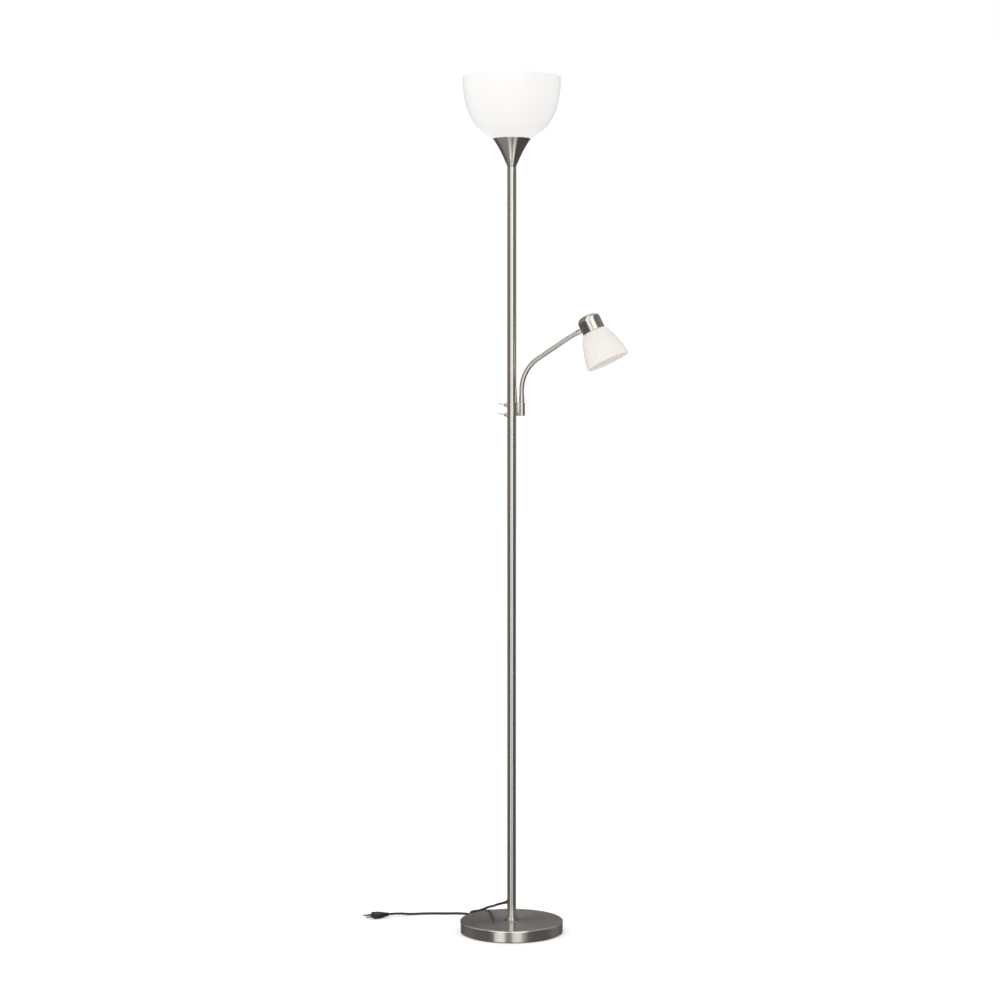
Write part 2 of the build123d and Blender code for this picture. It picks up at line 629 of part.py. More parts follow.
def reading_lamp():
    """Small lampholder in the cup's mouth, the shade, its ring and the bulb."""
    place = head_plane()
    inner_top = SHADE_GAP + SHADE_WALL
    thread = SHADE_HOLE - 0.4
    body = cylinder(thread, -SMALL_HOLDER_TOP, inner_top + RING_THICK + 3)
    body += cylinder(CUP_RADIUS - CUP_WALL - FIT, -SMALL_FLANGE, 0.0)
    body -= cylinder(SMALL_CAP_RADIUS + CAP_CLEARANCE, -SMALL_SOCKET_DEPTH, inner_top + RING_THICK + 4)
    write("reading_lampholder", place * body)
    outer_points = [(r, 0, s + SHADE_GAP) for s, r in SHADE_OUTLINE]
    inner_points = [(r - SHADE_WALL, 0, s + SHADE_GAP) for s, r in SHADE_OUTLINE[1:]]
    inner_points.insert(0, (SHADE_OUTLINE[0][1] - 1.0, 0, inner_top))
    outer = Spline(*outer_points)
    inner = Spline(*inner_points)
    floor = Polyline(inner_points[0], (SHADE_HOLE, 0, inner_top), (SHADE_HOLE, 0, SHADE_GAP), outer_points[0])
    mouth = Line(outer_points[-1], inner_points[-1])
    write("reading_shade", place * turned(outer + mouth + inner + floor))
    ring_low = inner_top + SEAT
    write("reading_shade_ring", place * ring(SHADE_HOLE + 4, thread + FIT, ring_low, ring_low + RING_THICK))
    lamp = bulb(SMALL_BULB_RADIUS, SMALL_BULB_LENGTH, SMALL_CAP_RADIUS, SMALL_CAP_LENGTH)
    write("reading_bulb", place * Pos(0, 0, SEAT - SMALL_SOCKET_DEPTH) * lamp)


# ---- switches ----

def switch_parts():
    """Two toggle switches through the pole's left wall, one above the other."""
    depth, width, tall = SWITCH_BODY
    nuts = []
    for name, height in zip(("upper", "lower"), SWITCH_HEIGHTS):
        out = Plane(origin=(0, 0, height), z_dir=(-1, 0, 0))
        face = POLE_INNER - 0.9
        body = Pos(-face + depth / 2, 0, height) * Box(depth, width, tall)
        body += out * cylinder(BUSHING_RADIUS, face - 1, BUSHING_TIP)
        body -= out * cylinder(BUSHING_BORE, SWITCH_PIVOT - 2.4, BUSHING_TIP + 1)
        pin_axis = Plane(origin=(-SWITCH_PIVOT, 0, height), z_dir=(0, 1, 0))
        body -= pin_axis * cylinder(PIVOT_PIN + RUNNING, -BUSHING_RADIUS - 1, BUSHING_RADIUS + 1)
        write(f"{name}_switch", body)
        nut_face = POLE_RADIUS + SEAT
        nuts.append(out * hexagon(SWITCH_NUT_FLATS, nut_face, nut_face + SWITCH_NUT_THICK, BUSHING_RADIUS))
        write(f"{name}_lever", lever(height, pin_axis))
    write("switch_nuts", Compound(children=nuts))


def lever(height, pin_axis):
    """Bat lever with a round tip, tilted upwards, on its cross pin."""
    bat = Cone(LEVER_ROOT, LEVER_TIP, LEVER_LENGTH, align=(Align.CENTER, Align.CENTER, Align.MIN))
    bat += Pos(0, 0, LEVER_LENGTH) * Sphere(LEVER_TIP)
    bat += Sphere(LEVER_BALL)
    tilt = radians(LEVER_TILT)
    along = Plane(origin=(-SWITCH_PIVOT, 0, height), z_dir=(-cos(tilt), 0, sin(tilt)))
    half_pin = BUSHING_RADIUS - 0.2
    return along * bat + pin_axis * cylinder(PIVOT_PIN, -half_pin, half_pin)


# ---- cord ----

def exit_direction():
    angle = radians(CORD_EXIT_ANGLE)
    return Vector(cos(angle), sin(angle), -CORD_EXIT_SLOPE).normalized()


def exit_point(distance):
    """Point on the cord's exit line, from the pole's surface outwards."""
    angle = radians(CORD_EXIT_ANGLE)
    surface = Vector(POLE_RADIUS * cos(angle), POLE_RADIUS * sin(angle), CORD_EXIT_HEIGHT)
    return surface + exit_direction() * distance


# Routes, one point a bend. Those over the base are for a base of ROUTE_RADIUS, with heights above its top.
ROUTE_RADIUS = 109.3
OVER_BASE = [
    (-34.5, 42.0, 22.1),
    (-38.5, 62.0, 16.2),
    (-42.0, 81.5, 11.2),
    (-47.5, 99.5, 6.3),
    (-63.5, 108.7, -2.6),
]
# From the hank's left end, with heights above its top layer and above the floor.
DOWN_TO_HANK = [(-38.7, -19.5, 6.2), (-45.6, -4.1, 1.0), (-41.5, 12.3, 0.3)]
TO_PLUG = [
    (-40.5, 7.0, CORD_REST),
    (-52.5, 19.5, CORD_REST),
    (-72.0, 24.5, CORD_REST),
    (-97.0, 23.0, CORD_REST),
    (-125.0, 24.0, CORD_REST),
    (-154.0, 21.5, CORD_REST),
    (-178.0, 16.0, CORD_REST),
    (-202.0, 7.0, PLUG_REST),
    (-223.3, -1.5, PLUG_REST),
]


def first_route():
    """Bends of the cord from the strain relief to the hank."""
    share = BASE_RADIUS / ROUTE_RADIUS
    points = [exit_point(RELIEF_LENGTH), exit_point(RELIEF_LENGTH + FIRST_RUN)]
    points += [(x * share, y * share, BASE_TOP + z) for x, y, z in OVER_BASE]
    return points + beside_hank(DOWN_TO_HANK, HANK_LOW + HANK_LAYER)


def beside_hank(offsets, height):
    """Places from offsets to the hank's left end."""
    left = HANK_CENTRE[0] - HANK_RUN / 2
    return [(left + x, HANK_CENTRE[1] + y, height + z) for x, y, z in offsets]


def cord_tube(name, points):
    """Round tube along straight runs and the largest arcs that they allow."""
    corners = [Vector(*point) for point in points]
    radii = []
    for before, corner, after in zip(corners, corners[1:], corners[2:]):
        into = corner - before
        out = after - corner
        turn = radians(into.get_angle(out))
        radii.append(0.45 * min(into.length, out.length) / tan(turn / 2))
    path = FilletPolyline(*corners, radius=radii)
    face = Plane(origin=corners[0], z_dir=corners[1] - corners[0]) * Circle(CORD / 2)
    tube = sweep(face, path=path)
    section = pi * (CORD / 2) ** 2
    print(name, "radii", [round(r) for r in radii], "length", round(path.length, 1),
          "volume share", round(tube.volume / (section * path.length), 4))
    write(name, tube)
    return path.length


def s_bend(start, end):
    """Two equal arcs from start to end, both ends heading along X."""
    middle = (start + end) / 2
    run = abs(end.X - start.X) / 2
    side = Vector(0, end.Y - start.Y, end.Z - start.Z)
    width = side.length / 2
    radius = (run * run + width * width) / (2 * width)
    half = asin(run / radius) / 2
    step = Vector(1 if end.X > start.X else -1, 0, 0) * (radius * sin(half))
    drop = side.normalized() * (radius * (1 - cos(half)))
    return [
        Edge.make_three_point_arc(start, start + step + drop, middle),
        Edge.make_three_point_arc(middle, end - step - drop, end),
    ]


def hank_run(start, end_x, towards, climb):
    """One run of the hank, drawn in at the waist and out again."""
    waist = Vector((start.X + end_x) / 2, start.Y + towards * HANK_DRAW, start.Z + climb / 2)
    end = Vector(end_x, start.Y, start.Z + climb)
    return s_bend(start, waist) + s_bend(waist, end), end


def half_turn(start, radius, right, share=1.0):
    """End loop of the hank, clockwise seen from above."""
    first = 90 if right else -90
    centre = start - Vector(0, radius, 0) * (1 if right else -1)

    def at(angle):
        return centre + Vector(radius * cos(radians(angle)), radius * sin(radians(angle)), 0)

    edges = []
    quarters = 2 if share == 1.0 else 1
    sweep_angle = 180 * share / quarters
    for i in range(quarters):
        low = first - i * sweep_angle
        edges.append(Edge.make_three_point_arc(at(low), at(low - sweep_angle / 2), at(low - sweep_angle)))
    return edges, at(first - 180 * share)


def hank_edges():
    """Centre line of the hank: in along the top layer, down a run, out along the lower one."""
    step = HANK_PITCH / 2
    left = HANK_CENTRE[0] - HANK_RUN / 2
    right = HANK_CENTRE[0] + HANK_RUN / 2
    top = HANK_LOW + HANK_LAYER
    outer = HANK_INNER + step * (HANK_TOP_TURNS - 1)
    start = Vector(left, HANK_CENTRE[1] + step / 2 + outer, top)
    edges = [Edge.make_line(start - Vector(CORD, 0, 0), start)]
    here = start
    heading_right = True
    radii = [outer - step * i for i in range(HANK_TOP_TURNS)]
    radii += [HANK_INNER + step * i for i in range(HANK_LOW_TURNS)]
    for i, radius in enumerate(radii):
        climb = -HANK_LAYER if i == HANK_TOP_TURNS else 0.0
        towards = -1 if heading_right else 1
        added, here = hank_run(here, right if heading_right else left, towards, climb)
        edges += added
        share = HANK_LEAVES / 180 if i == len(radii) - 1 else 1.0
        added, here = half_turn(here, radius, heading_right, share)
        edges += added
        heading_right = not heading_right
    end_direction = (edges[-1] % 1).normalized()
    edges.append(Edge.make_line(here, here + end_direction * CORD))
    return edges


def least_self_distance(edges):
    """Least distance between stretches of the line that lie more than four diameters apart along it."""
    step = 1.5
    points = []
    travelled = 0.0
    for edge in edges:
        count = max(2, round(edge.length / step))
        for i in range(count):
            points.append((travelled + edge.length * i / count, edge @ (i / count)))
        travelled += edge.length
    least = 1e9
    for i, (at_i, p) in enumerate(points):
        for at_j, q in points[i + 1:]:
            if at_j - at_i > 4 * CORD:
                least = min(least, (p - q).length)
    return least


def cord_hank():
    """Put-away length of the cord, one unbroken tube."""
    edges = hank_edges()
    path = Wire(edges)
    start = edges[0] @ 0
    face = Plane(origin=start, z_dir=(1, 0, 0)) * Circle(CORD / 2)
    tube = sweep(face, path=path)
    section = pi * (CORD / 2) ** 2
    print("cord_hank length", round(path.length, 1), "least gap", round(least_self_distance(edges) - CORD, 2))
    print("volume share", round(tube.volume / (section * path.length), 4))
    write("cord_hank", tube)
    return start, edges[-1] @ 1, edges[-1] % 1, path.length


def cord_tie():
    """Flat band round the hank's waist."""
    half = HANK_WIDEST - HANK_DRAW + CORD / 2 + 1.6
    low = HANK_LOW - CORD / 2 - 0.05
    high = HANK_LOW + HANK_LAYER + CORD / 2 + 0.3
    side = Plane(origin=(HANK_CENTRE[0] - TIE_WIDTH / 2, HANK_CENTRE[1], (low + high) / 2),
                 x_dir=(0, 1, 0), z_dir=(1, 0, 0))
    height = high - low
    outside = RectangleRounded(2 * half + 2 * TIE_THICK, height + 2 * TIE_THICK, 3.0)
    inside = RectangleRounded(2 * half, height, 2.5)
    write("cord_tie", extrude(side * (outside - inside), TIE_WIDTH))


def plug_parts(cord_end, direction):
    """Flat two-pin plug lying on the floor at the cord's end."""
    place = Plane(origin=cord_end, x_dir=direction, z_dir=(0, 0, 1))
    tail = PLUG_TAIL_WIDTH / 2
    half = PLUG_WIDTH / 2
    body = Polygon(
        (0, -tail * 0.7),
        (0, tail * 0.7),
        (10, tail),
        (PLUG_LENGTH_BODY * 0.6, half),
        (PLUG_LENGTH_BODY, half),
        (PLUG_LENGTH_BODY, -half),
        (PLUG_LENGTH_BODY * 0.6, -half),
        (10, -tail),
        align=None,
    )
    solid = extrude(body, PLUG_THICK / 2, both=True)
    solid = chamfer(solid.edges().group_by(Axis.Z)[-1] + solid.edges().group_by(Axis.Z)[0], 2.0)
    pins = []
    for side in (-1, 1):
        line = Plane(origin=(PLUG_LENGTH_BODY, side * PIN_SPACING / 2, 0), z_dir=(1, 0, 0))
        pin = Cylinder(PIN_RADIUS, PIN_LENGTH, align=(Align.CENTER, Align.CENTER, Align.MIN))
        tip = pin.faces().sort_by(Axis.Z)[-1].edges()
        pins.append(place * line * fillet(tip, PIN_RADIUS * 0.7))
    write("plug_body", place * solid)
    write("plug_pins", Compound(children=pins))


def cord_relief():
    """Rubber sleeve that tapers along the cord, with a flange on the pole and a short stem in its wall."""
    angle = radians(CORD_EXIT_ANGLE)
    level = Plane(origin=(0, 0, CORD_EXIT_HEIGHT), z_dir=(cos(angle), sin(angle), 0))
    stem = level * cylinder(RELIEF_RADIUS, POLE_INNER - 0.5, POLE_RADIUS + FLANGE_THICK)
    flange = level * cylinder(FLANGE_RADIUS, POLE_RADIUS + FIT - 2, POLE_RADIUS + FLANGE_THICK)
    flange -= cylinder(POLE_RADIUS + FIT, CORD_EXIT_HEIGHT - 20, CORD_EXIT_HEIGHT + 20)
    out = Plane(origin=exit_point(0), z_dir=exit_direction())
    standing = (Align.CENTER, Align.CENTER, Align.MIN)
    sleeve = out * Cone(RELIEF_RADIUS, CORD / 2 + 0.1, RELIEF_LENGTH, align=standing)
    sleeve -= cylinder(POLE_RADIUS + FIT, CORD_EXIT_HEIGHT - 20, CORD_EXIT_HEIGHT + 20)
    return stem + flange + sleeve


def cord_parts():
    """Strain relief, both free stretches, the hank with its tie, the plug and the wires inside the pole."""
    write("cord_relief", cord_relief())
    start, end, end_direction, hank_length = cord_hank()
    first = first_route() + [start - Vector(HANK_APPROACH, 0, 0), start]
    total = cord_tube("cord_pole_stretch", first) + hank_length
    second = [end, end + end_direction * HANK_DEPARTURE] + beside_hank(TO_PLUG, 0.0)
    total += cord_tube("cord_plug_stretch", second)
    print("whole cord", round(total + RELIEF_LENGTH))
    last = Vector(*second[-1])
    plug_parts(last, (last - Vector(*second[-2])).normalized())
    cord_tie()
    supply = Polyline((0, 0, CORD_EXIT_HEIGHT - 6), (0, 0, min(SWITCH_HEIGHTS) - SWITCH_BODY[2] / 2 - 2))
    write("supply_wires", sweep(Plane(origin=supply @ 0) * Circle(CORD / 2 - 0.5), path=supply))
    top = BOWL_BASE - HOLDER_DROP + NIPPLE_IN_HOLDER + 2
    write("bowl_wires", cylinder(WIRE_RADIUS, max(SWITCH_HEIGHTS) + SWITCH_BODY[2] / 2 + 1, top))


base_parts()
foot_collar()
pole_parts()
cap_and_nipple()
bowl_shade()
bowl_lamp()
bracket_parts()
neck_parts()
head_cup()
reading_lamp()
switch_parts()
cord_parts()
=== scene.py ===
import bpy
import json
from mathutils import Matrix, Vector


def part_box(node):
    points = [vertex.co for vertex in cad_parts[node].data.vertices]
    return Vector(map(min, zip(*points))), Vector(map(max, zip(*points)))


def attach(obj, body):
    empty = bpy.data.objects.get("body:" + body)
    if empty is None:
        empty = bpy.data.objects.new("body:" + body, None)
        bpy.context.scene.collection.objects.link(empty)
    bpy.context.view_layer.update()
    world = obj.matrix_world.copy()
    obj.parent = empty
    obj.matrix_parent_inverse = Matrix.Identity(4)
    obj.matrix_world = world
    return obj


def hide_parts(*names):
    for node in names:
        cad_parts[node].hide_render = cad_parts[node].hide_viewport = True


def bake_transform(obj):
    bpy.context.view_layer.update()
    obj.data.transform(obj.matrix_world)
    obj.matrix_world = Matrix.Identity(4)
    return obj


bl_info = {
    "name": "Torchiere lamp with reading light",
    "version": (1, 0, 0),
    "blender": (4, 5, 0),
    "location": "View3D > Sidebar > Lamp",
    "description": "Finishes a floor lamp: steel, opal glass, flexible neck, cord, floor and lights",
    "category": "Add Mesh",
}

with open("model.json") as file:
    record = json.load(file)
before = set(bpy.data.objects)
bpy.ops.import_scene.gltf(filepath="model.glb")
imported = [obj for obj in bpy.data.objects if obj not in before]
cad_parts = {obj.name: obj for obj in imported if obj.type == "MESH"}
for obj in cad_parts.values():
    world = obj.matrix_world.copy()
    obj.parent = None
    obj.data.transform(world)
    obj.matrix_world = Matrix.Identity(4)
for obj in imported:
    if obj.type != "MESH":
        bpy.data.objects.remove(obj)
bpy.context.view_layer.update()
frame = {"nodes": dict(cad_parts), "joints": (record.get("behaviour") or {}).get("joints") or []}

import json
import math

import bmesh
import bpy
import numpy as np

MM = 0.001
UV_NAME = "surface"
WHITE = (1.0, 1.0, 1.0, 1.0)
SHARP = 32.0
MERGE_WITHIN = 1e-6
SPLINTER = 1e-7


# ---- sizes read from the frame, in millimetres ----

def corners(node):
    """Lowest and highest corner of a node."""
    low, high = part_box(node)
    return np.array(low) / MM, np.array(high) / MM


def radius_of(node):
    """Half the width of a node along X."""
    low, high = corners(node)
    return (high[0] - low[0]) / 2


def heights(node):
    """Lowest and highest level of a node."""
    low, high = corners(node)
    return low[2], high[2]


def pivot_of(joint):
    """Point that a joint of the frame turns about."""
    found = next(item for item in frame["joints"] if item["name"] == joint)
    return np.array(found["pos_m"]) / MM


BASE_RADIUS = radius_of("base_cover")
COVER_LOW, BASE_TOP = heights("base_cover")
POLE_RADIUS = radius_of("middle_pole")
CAP_LOW, CAP_TOP = heights("bowl_cap")
CAP_RADIUS = radius_of("bowl_cap")
BOWL_LOW, BOWL_RIM = heights("bowl_shade")
BOWL_RADIUS = radius_of("bowl_shade")
SOCKET_AXIS, _, SOCKET_TOP = pivot_of("neck_swivel")
BRACKET_LOW, TONGUE_TOP = heights("neck_bracket")
NECK_FOOT = heights("neck_segment_1")[0]

# ---- sizes that the frame's boxes don't give, in millimetres, and angles in radians ----

SLIDE_ROOM = 0.05
NIPPLE_HOLE = 5.05
BASE_WALL = 1.2
BASE_EDGE = 2.6
COVER_ROOM = 0.2
COLLAR_NECK = 10.6
COLLAR_LIP = 1.0
COLLAR_STEP = (2.3, 3.0)
COLLAR_TAPER = (0.6, 1.2)
POLE_WALL = 1.0
POLE_EDGE = 0.35
CAP_WALL = 1.0
CAP_FLOOR = 2.0
CAP_WAIST = (20.3, 1638.7)
CAP_RIM_ROUND = (0.15, 0.1)
GLASS_WALL = 3.0
BOWL_DEPTH = 128.5
BOWL_POWERS = (2.26, 2.69)
BOWL_CONE = 10.0
BOWL_HOLE = 20.5
LARGE_SOCKET = 13.5
LARGE_SOCKET_DEPTH = 28.0
LARGE_HOLDER_BORE = 6.0
LARGE_HOLDER_EDGE = 0.8
THREAD_ROOM = 0.6
SEAT_ROOM = 0.1
SADDLE_WALL = 3.0
SADDLE_DEGREES = (75, 75)
TONGUE_WALL = 1.6
TONGUE_DEGREES = (38, 17)
TONGUE_OVERLAP = 1.0
WEB_WIDTH = 9.0
WEB_OVERLAP = 2.0
WEB_EDGE = 0.5
SECTOR_EDGE = 0.6
SOCKET_RADIUS = 6.8
SOCKET_BORE = 4.46
SOCKET_CAP = 5.55
SOCKET_CAP_HEIGHT = 1.2
NECK_RADIUS = 4.9
NECK_TURN = math.radians(18.35)
NECK_RISE = 25.6
NECK_BEND = 78.0
NECK_BEND_ANGLE = math.radians(57.2)
NECK_STRAIGHT = 70.0
NECK_END_BEND = 250.0
NECK_END_RUN = 60.0
HEAD_TILT = math.radians(26.0)
NECK_TO_WALL = 11.0
NECK_BASE_LENGTH = 13.0
NECK_END_LENGTH = 12.0
SEGMENT_GAP = 1.4
BEND_SHARE = 0.34
RIB_PITCH = 1.9
RIB_DEPTH = 0.1
POINTS_A_RIB = 7
SLEEVE_RADIUS = 5.4
SLEEVE_EDGE = 0.5
SLEEVE_SLOPE = 1.0
FERRULE_LIP = (5.0, -0.3)
FERRULE_SLOPE = 1.5
SPIGOT_RADIUS = 4.4
SPIGOT_LOW = 10.1
BASE_STEM = 3.0
END_STEM = 3.9
END_STEM_LENGTH = 7.0
STEM_OVERLAP = 1.0
CUP_RADIUS = 24.0
CUP_LENGTH = 36.5
CUP_CORNER = 13.0
CUP_ENTRY = 12.7
CUP_WALL = 1.2
CUP_SHOULDER = math.radians(80)
CUP_FLATTENED = 1.5
CUP_LIP = (0.4, 0.9)
CUP_LIP_ROUND = 0.5
CROWN_DROP = 0.45
SHADE_OUTLINE = ((0.0, 23.6), (5.0, 27.6), (11.0, 31.0), (29.0, 37.2), (48.0, 42.6), (70.0, 46.3))
SHADE_WALL = 2.5
SHADE_TOP_INSET = 1.0
SHADE_TOP = 0.3
SHADE_HOLE = 14.0
SMALL_SOCKET = 7.1
SMALL_SOCKET_FLOOR = -14.0
SMALL_HOLDER_END = -30.0
SMALL_HOLDER_ROOM = 0.4
SMALL_HOLDER_EDGE = 0.7
SMALL_HOLDER_RISE = 7.0
HOLDER_FLANGE = 22.7
FLANGE_BACK = -4.0
RING_WIDTH = 4.0
RING_HEIGHT = 4.0
SMALL_BULB = (22.5, 78.0, 6.8, 24.0)
LARGE_BULB = (30.0, 110.0, 13.2, 27.0)
GRIP_DEPTH = 0.7
SWITCH_BODY = (6.6, 12.2, 8.4)
SWITCH_INSET = 3.4
SWITCH_EDGE = 0.4
BUSHING = (8.0, 15.9)
BUSHING_HOLE = ((2.9, 16.5), (2.1, 16.5), (1.9, 11.2), (0.0, 11.2))
THREAD_RADIUS = 2.98
THREAD_DEPTH = 0.12
THREAD_PITCH = 0.8
NUT_FLATS = 8.0
NUT_BORE = 3.1
NUT_LEVELS = (9.6, 11.6)
NUT_FACE = 1.03
NUT_CHAMFER = 0.14
LEVER_TILT = math.radians(14.0)
LEVER_LENGTH = 12.6
LEVER_TIP = 1.5
LEVER_BALL = 1.5
LEVER_WAIST = math.radians(42)
LEVER_SHAFT = ((1.0, 1.3), (0.95, 3.0), (1.25, 8.0))
LEVER_PIN = 0.5
LEVER_PIN_REACH = 2.9
CORD = 5.0
RELIEF_ROOT = 3.3
RELIEF_TIP = 2.62
RELIEF_RIB = 0.22
RELIEF_PITCH = 2.6
RELIEF_FLANGE = ((0.0, -0.8), (5.2, -0.8), (5.5, -0.2), (5.5, 0.7), (5.1, 1.3))
TIE_CORNER = 4.0
TIE_WALL = 0.5
TIE_BEVEL = 0.004
PLUG_POWER = 4.5
PLUG_OUTLINE = (
    # distance from the cord, half the width, half the thickness
    (0.0, 3.2, 3.0), (0.4, 3.7, 3.5), (4.0, 4.2, 3.9), (8.0, 4.8, 4.4), (11.0, 5.6, 5.0), (16.0, 8.6, 5.8),
    (21.0, 11.6, 6.15), (24.0, 12.6, 6.2), (30.0, 12.9, 6.2), (34.5, 12.9, 6.2), (35.7, 12.4, 5.8),
    (36.0, 11.4, 4.9),
)
GROOVE_DEPTH = 0.35
GROOVE_PITCH = 2.4
GROOVES = (24.5, 33.5)
PIN_OFFSET = 9.3
PIN_RADIUS = 2.0
PIN_SLEEVE = 1.95
PIN_LEVELS = (35.5, 45.0, 55.0)

# route of the cord: one point a bend, the hank's turns come from hank_points()
RELIEF = ((-7.28, 6.11, 62.5), (-20.36, 17.09, 56.86))
POLE_STRETCH = (
    (-20.36, 17.09, 56.86),
    (-31.27, 26.24, 52.16),
    (-34.5, 42.0, 47.2),
    (-38.5, 62.0, 41.3),
    (-42.0, 81.5, 36.3),
    (-47.5, 99.5, 31.4),
    (-63.5, 108.7, 22.5),
    (-82.9, 119.0, 15.1),
    (-89.8, 134.4, 9.9),
    (-85.7, 150.8, 9.2),
)
PLUG_STRETCH = (
    (-84.7, 145.5, 2.6),
    (-96.7, 158.0, 2.6),
    (-116.2, 163.0, 2.6),
    (-141.2, 161.5, 2.6),
    (-169.2, 162.5, 2.6),
    (-198.2, 160.0, 2.6),
    (-222.2, 154.5, 2.6),
    (-246.2, 145.5, 6.4),
    (-267.5, 137.0, 6.4),
)
HANK_PITCH = 6.2
HANK_INNER = 15.0
HANK_RUN = 76.0
HANK_CENTRE = (-6.2, 138.5)
HANK_DRAW = 9.0
HANK_LOW = 3.2
HANK_LAYER = 5.7
HANK_TOP_TURNS = 3
HANK_LOW_TURNS = 5
HANK_APPROACH = 23.2
HANK_DEPARTURE = 11.0


# ---- settings a user would change ----

class LampMetalSettings(bpy.types.PropertyGroup):
    """Colour and polish of the turned steel."""

    tint: bpy.props.FloatVectorProperty(
        name="Steel colour", description="Colour of the satin steel", subtype="COLOR",
        default=(0.63, 0.592, 0.543), min=0.0, max=1.0)
    roughness: bpy.props.FloatProperty(
        name="Roughness", description="Roughness of the satin steel", subtype="FACTOR",
        default=0.2, min=0.0, max=1.0)
    brushing: bpy.props.FloatProperty(
        name="Brushing", description="How strongly the brush lines stretch highlights", subtype="FACTOR",
        default=0.55, min=0.0, max=1.0)
    line_width: bpy.props.FloatProperty(
        name="Line width", description="Typical width of a brush line", unit="LENGTH",
        default=0.0004, min=0.0001, max=0.005)


class LampGlassSettings(bpy.types.PropertyGroup):
    """Colours and depth of the two opal glass shades; the reading shade's colour holds painted shade."""

    tint: bpy.props.FloatVectorProperty(
        name="Glass colour", description="Colour of the opal glass", subtype="COLOR",
        default=(0.965, 0.945, 0.92), min=0.0, max=1.0)
    # the reading shade's colour is the bowl's opal glass painted darker and warmer: painted shade for the
    # lesser light on it
    small_shaded_tint: bpy.props.FloatVectorProperty(
        name="Small shade colour", description="Colour of the reading shade's glass", subtype="COLOR",
        default=(0.878, 0.836, 0.794), min=0.0, max=1.0)
    depth: bpy.props.FloatProperty(
        name="Glow depth", description="How far light spreads inside the opal glass", unit="LENGTH",
        default=0.004, min=0.0, max=0.05)


class LampCordSettings(bpy.types.PropertyGroup):
    """Colour and thickness of the cord."""

    tint: bpy.props.FloatVectorProperty(
        name="Cord colour", description="Colour of the cord's sheath", subtype="COLOR",
        default=(0.018, 0.018, 0.02), min=0.0, max=1.0)
    diameter: bpy.props.FloatProperty(
        name="Diameter", description="Diameter of the cord", unit="LENGTH",
        default=CORD * MM, min=0.002, max=0.02)


class LampStageSettings(bpy.types.PropertyGroup):
    """Camera, floor and light."""

    camera_place: bpy.props.FloatVectorProperty(
        name="Camera", description="Where the camera stands", subtype="XYZ", unit="LENGTH",
        default=(-0.02463, -5.021, 1.171))
    pitch: bpy.props.FloatProperty(
        name="Pitch", description="How far the camera looks down", subtype="ANGLE",
        default=math.radians(2.9))
    lens: bpy.props.FloatProperty(
        name="Lens", description="Focal length of the camera", unit="CAMERA", default=86.11, min=10.0)
    sky: bpy.props.FloatProperty(
        name="Soft light", description="Strength of the even light from all round", default=1.0, min=0.0)
    floor_white: bpy.props.FloatProperty(
        name="Floor white", description="How far the floor is lifted to white for the camera",
        default=0.2, min=0.0)
    panel: bpy.props.FloatProperty(
        name="Panel brightness", description="Brightness of the two panels that the steel mirrors",
        default=1.6, min=0.0)


SETTINGS = {
    "lamp_metal": LampMetalSettings,
    "lamp_glass": LampGlassSettings,
    "lamp_cord": LampCordSettings,
    "lamp_stage": LampStageSettings,
}


# ---- surfaces ----

def surface(points, wrap_u, wrap_v):
    """Vertices, quads and UV of a grid of points, (rows, columns, 3).

    Row i and column j give a quad with their neighbours; a wrapped direction joins its last line to its
    first. The UV counts the running length along a column and the share along a row.
    """
    rows, columns = points.shape[:2]
    index = np.arange(rows * columns).reshape(rows, columns)
    across = np.concatenate([index, index[:1]]) if wrap_u else index
    across = np.concatenate([across, across[:, :1]], axis=1) if wrap_v else across
    quads = np.stack([across[:-1, :-1], across[:-1, 1:], across[1:, 1:], across[1:, :-1]], axis=-1)
    step = np.linalg.norm(np.diff(points, axis=0), axis=-1).mean(axis=1)
    along = np.concatenate([[0.0], np.cumsum(step)]) * MM
    if wrap_u:
        along = np.append(along, along[-1] + np.linalg.norm(points[-1] - points[0], axis=-1).mean() * MM)
    turn = np.arange(across.shape[1]) / (across.shape[1] - 1)
    uv = np.stack(np.broadcast_arrays(turn[None, :], along[:, None]), axis=-1)
    corner_uv = np.stack([uv[:-1, :-1], uv[:-1, 1:], uv[1:, 1:], uv[1:, :-1]], axis=-2)
    return points.reshape(-1, 3), quads.reshape(-1, 4), corner_uv.reshape(-1, 2)


def joined(*surfaces):
    """Several surfaces as one list of vertices, quads and UV."""
    vertices, quads, uvs, count = [], [], [], 0
    for points, faces, uv in surfaces:
        vertices.append(points)
        quads.append(faces + count)
        uvs.append(uv)
        count += len(points)
    return np.concatenate(vertices), np.concatenate(quads), np.concatenate(uvs)


def piece(name, body, parts, finish, replaces=(), sharp=SHARP):
    """Object from surfaces in millimetres, with merged poles, outward faces and smooth shading.

    Edges where the faces turn by more than the sharp angle, in degrees, stay sharp.
    """
    vertices, quads, uvs = joined(*parts)
    mesh = bpy.data.meshes.new(name)
    mesh.from_pydata((vertices * MM).tolist(), [], quads.tolist())
    layer = mesh.uv_layers.new(name=UV_NAME)
    layer.data.foreach_set("uv", uvs.astype(np.float32).ravel())
    shell = bmesh.new()
    shell.from_mesh(mesh)
    bmesh.ops.remove_doubles(shell, verts=shell.verts, dist=MERGE_WITHIN)
    bmesh.ops.dissolve_degenerate(shell, edges=shell.edges, dist=SPLINTER)
    bmesh.ops.recalc_face_normals(shell, faces=shell.faces)
    shell.to_mesh(mesh)
    shell.free()
    mesh.shade_smooth()
    mesh.set_sharp_from_angle(angle=math.radians(sharp))
    mesh.materials.append(MATERIALS[finish])
    made = bpy.data.objects.new(name, mesh)
    bpy.context.scene.collection.objects.link(made)
    if body:
        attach(made, body)
    if replaces:
        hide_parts(*replaces)
    return made


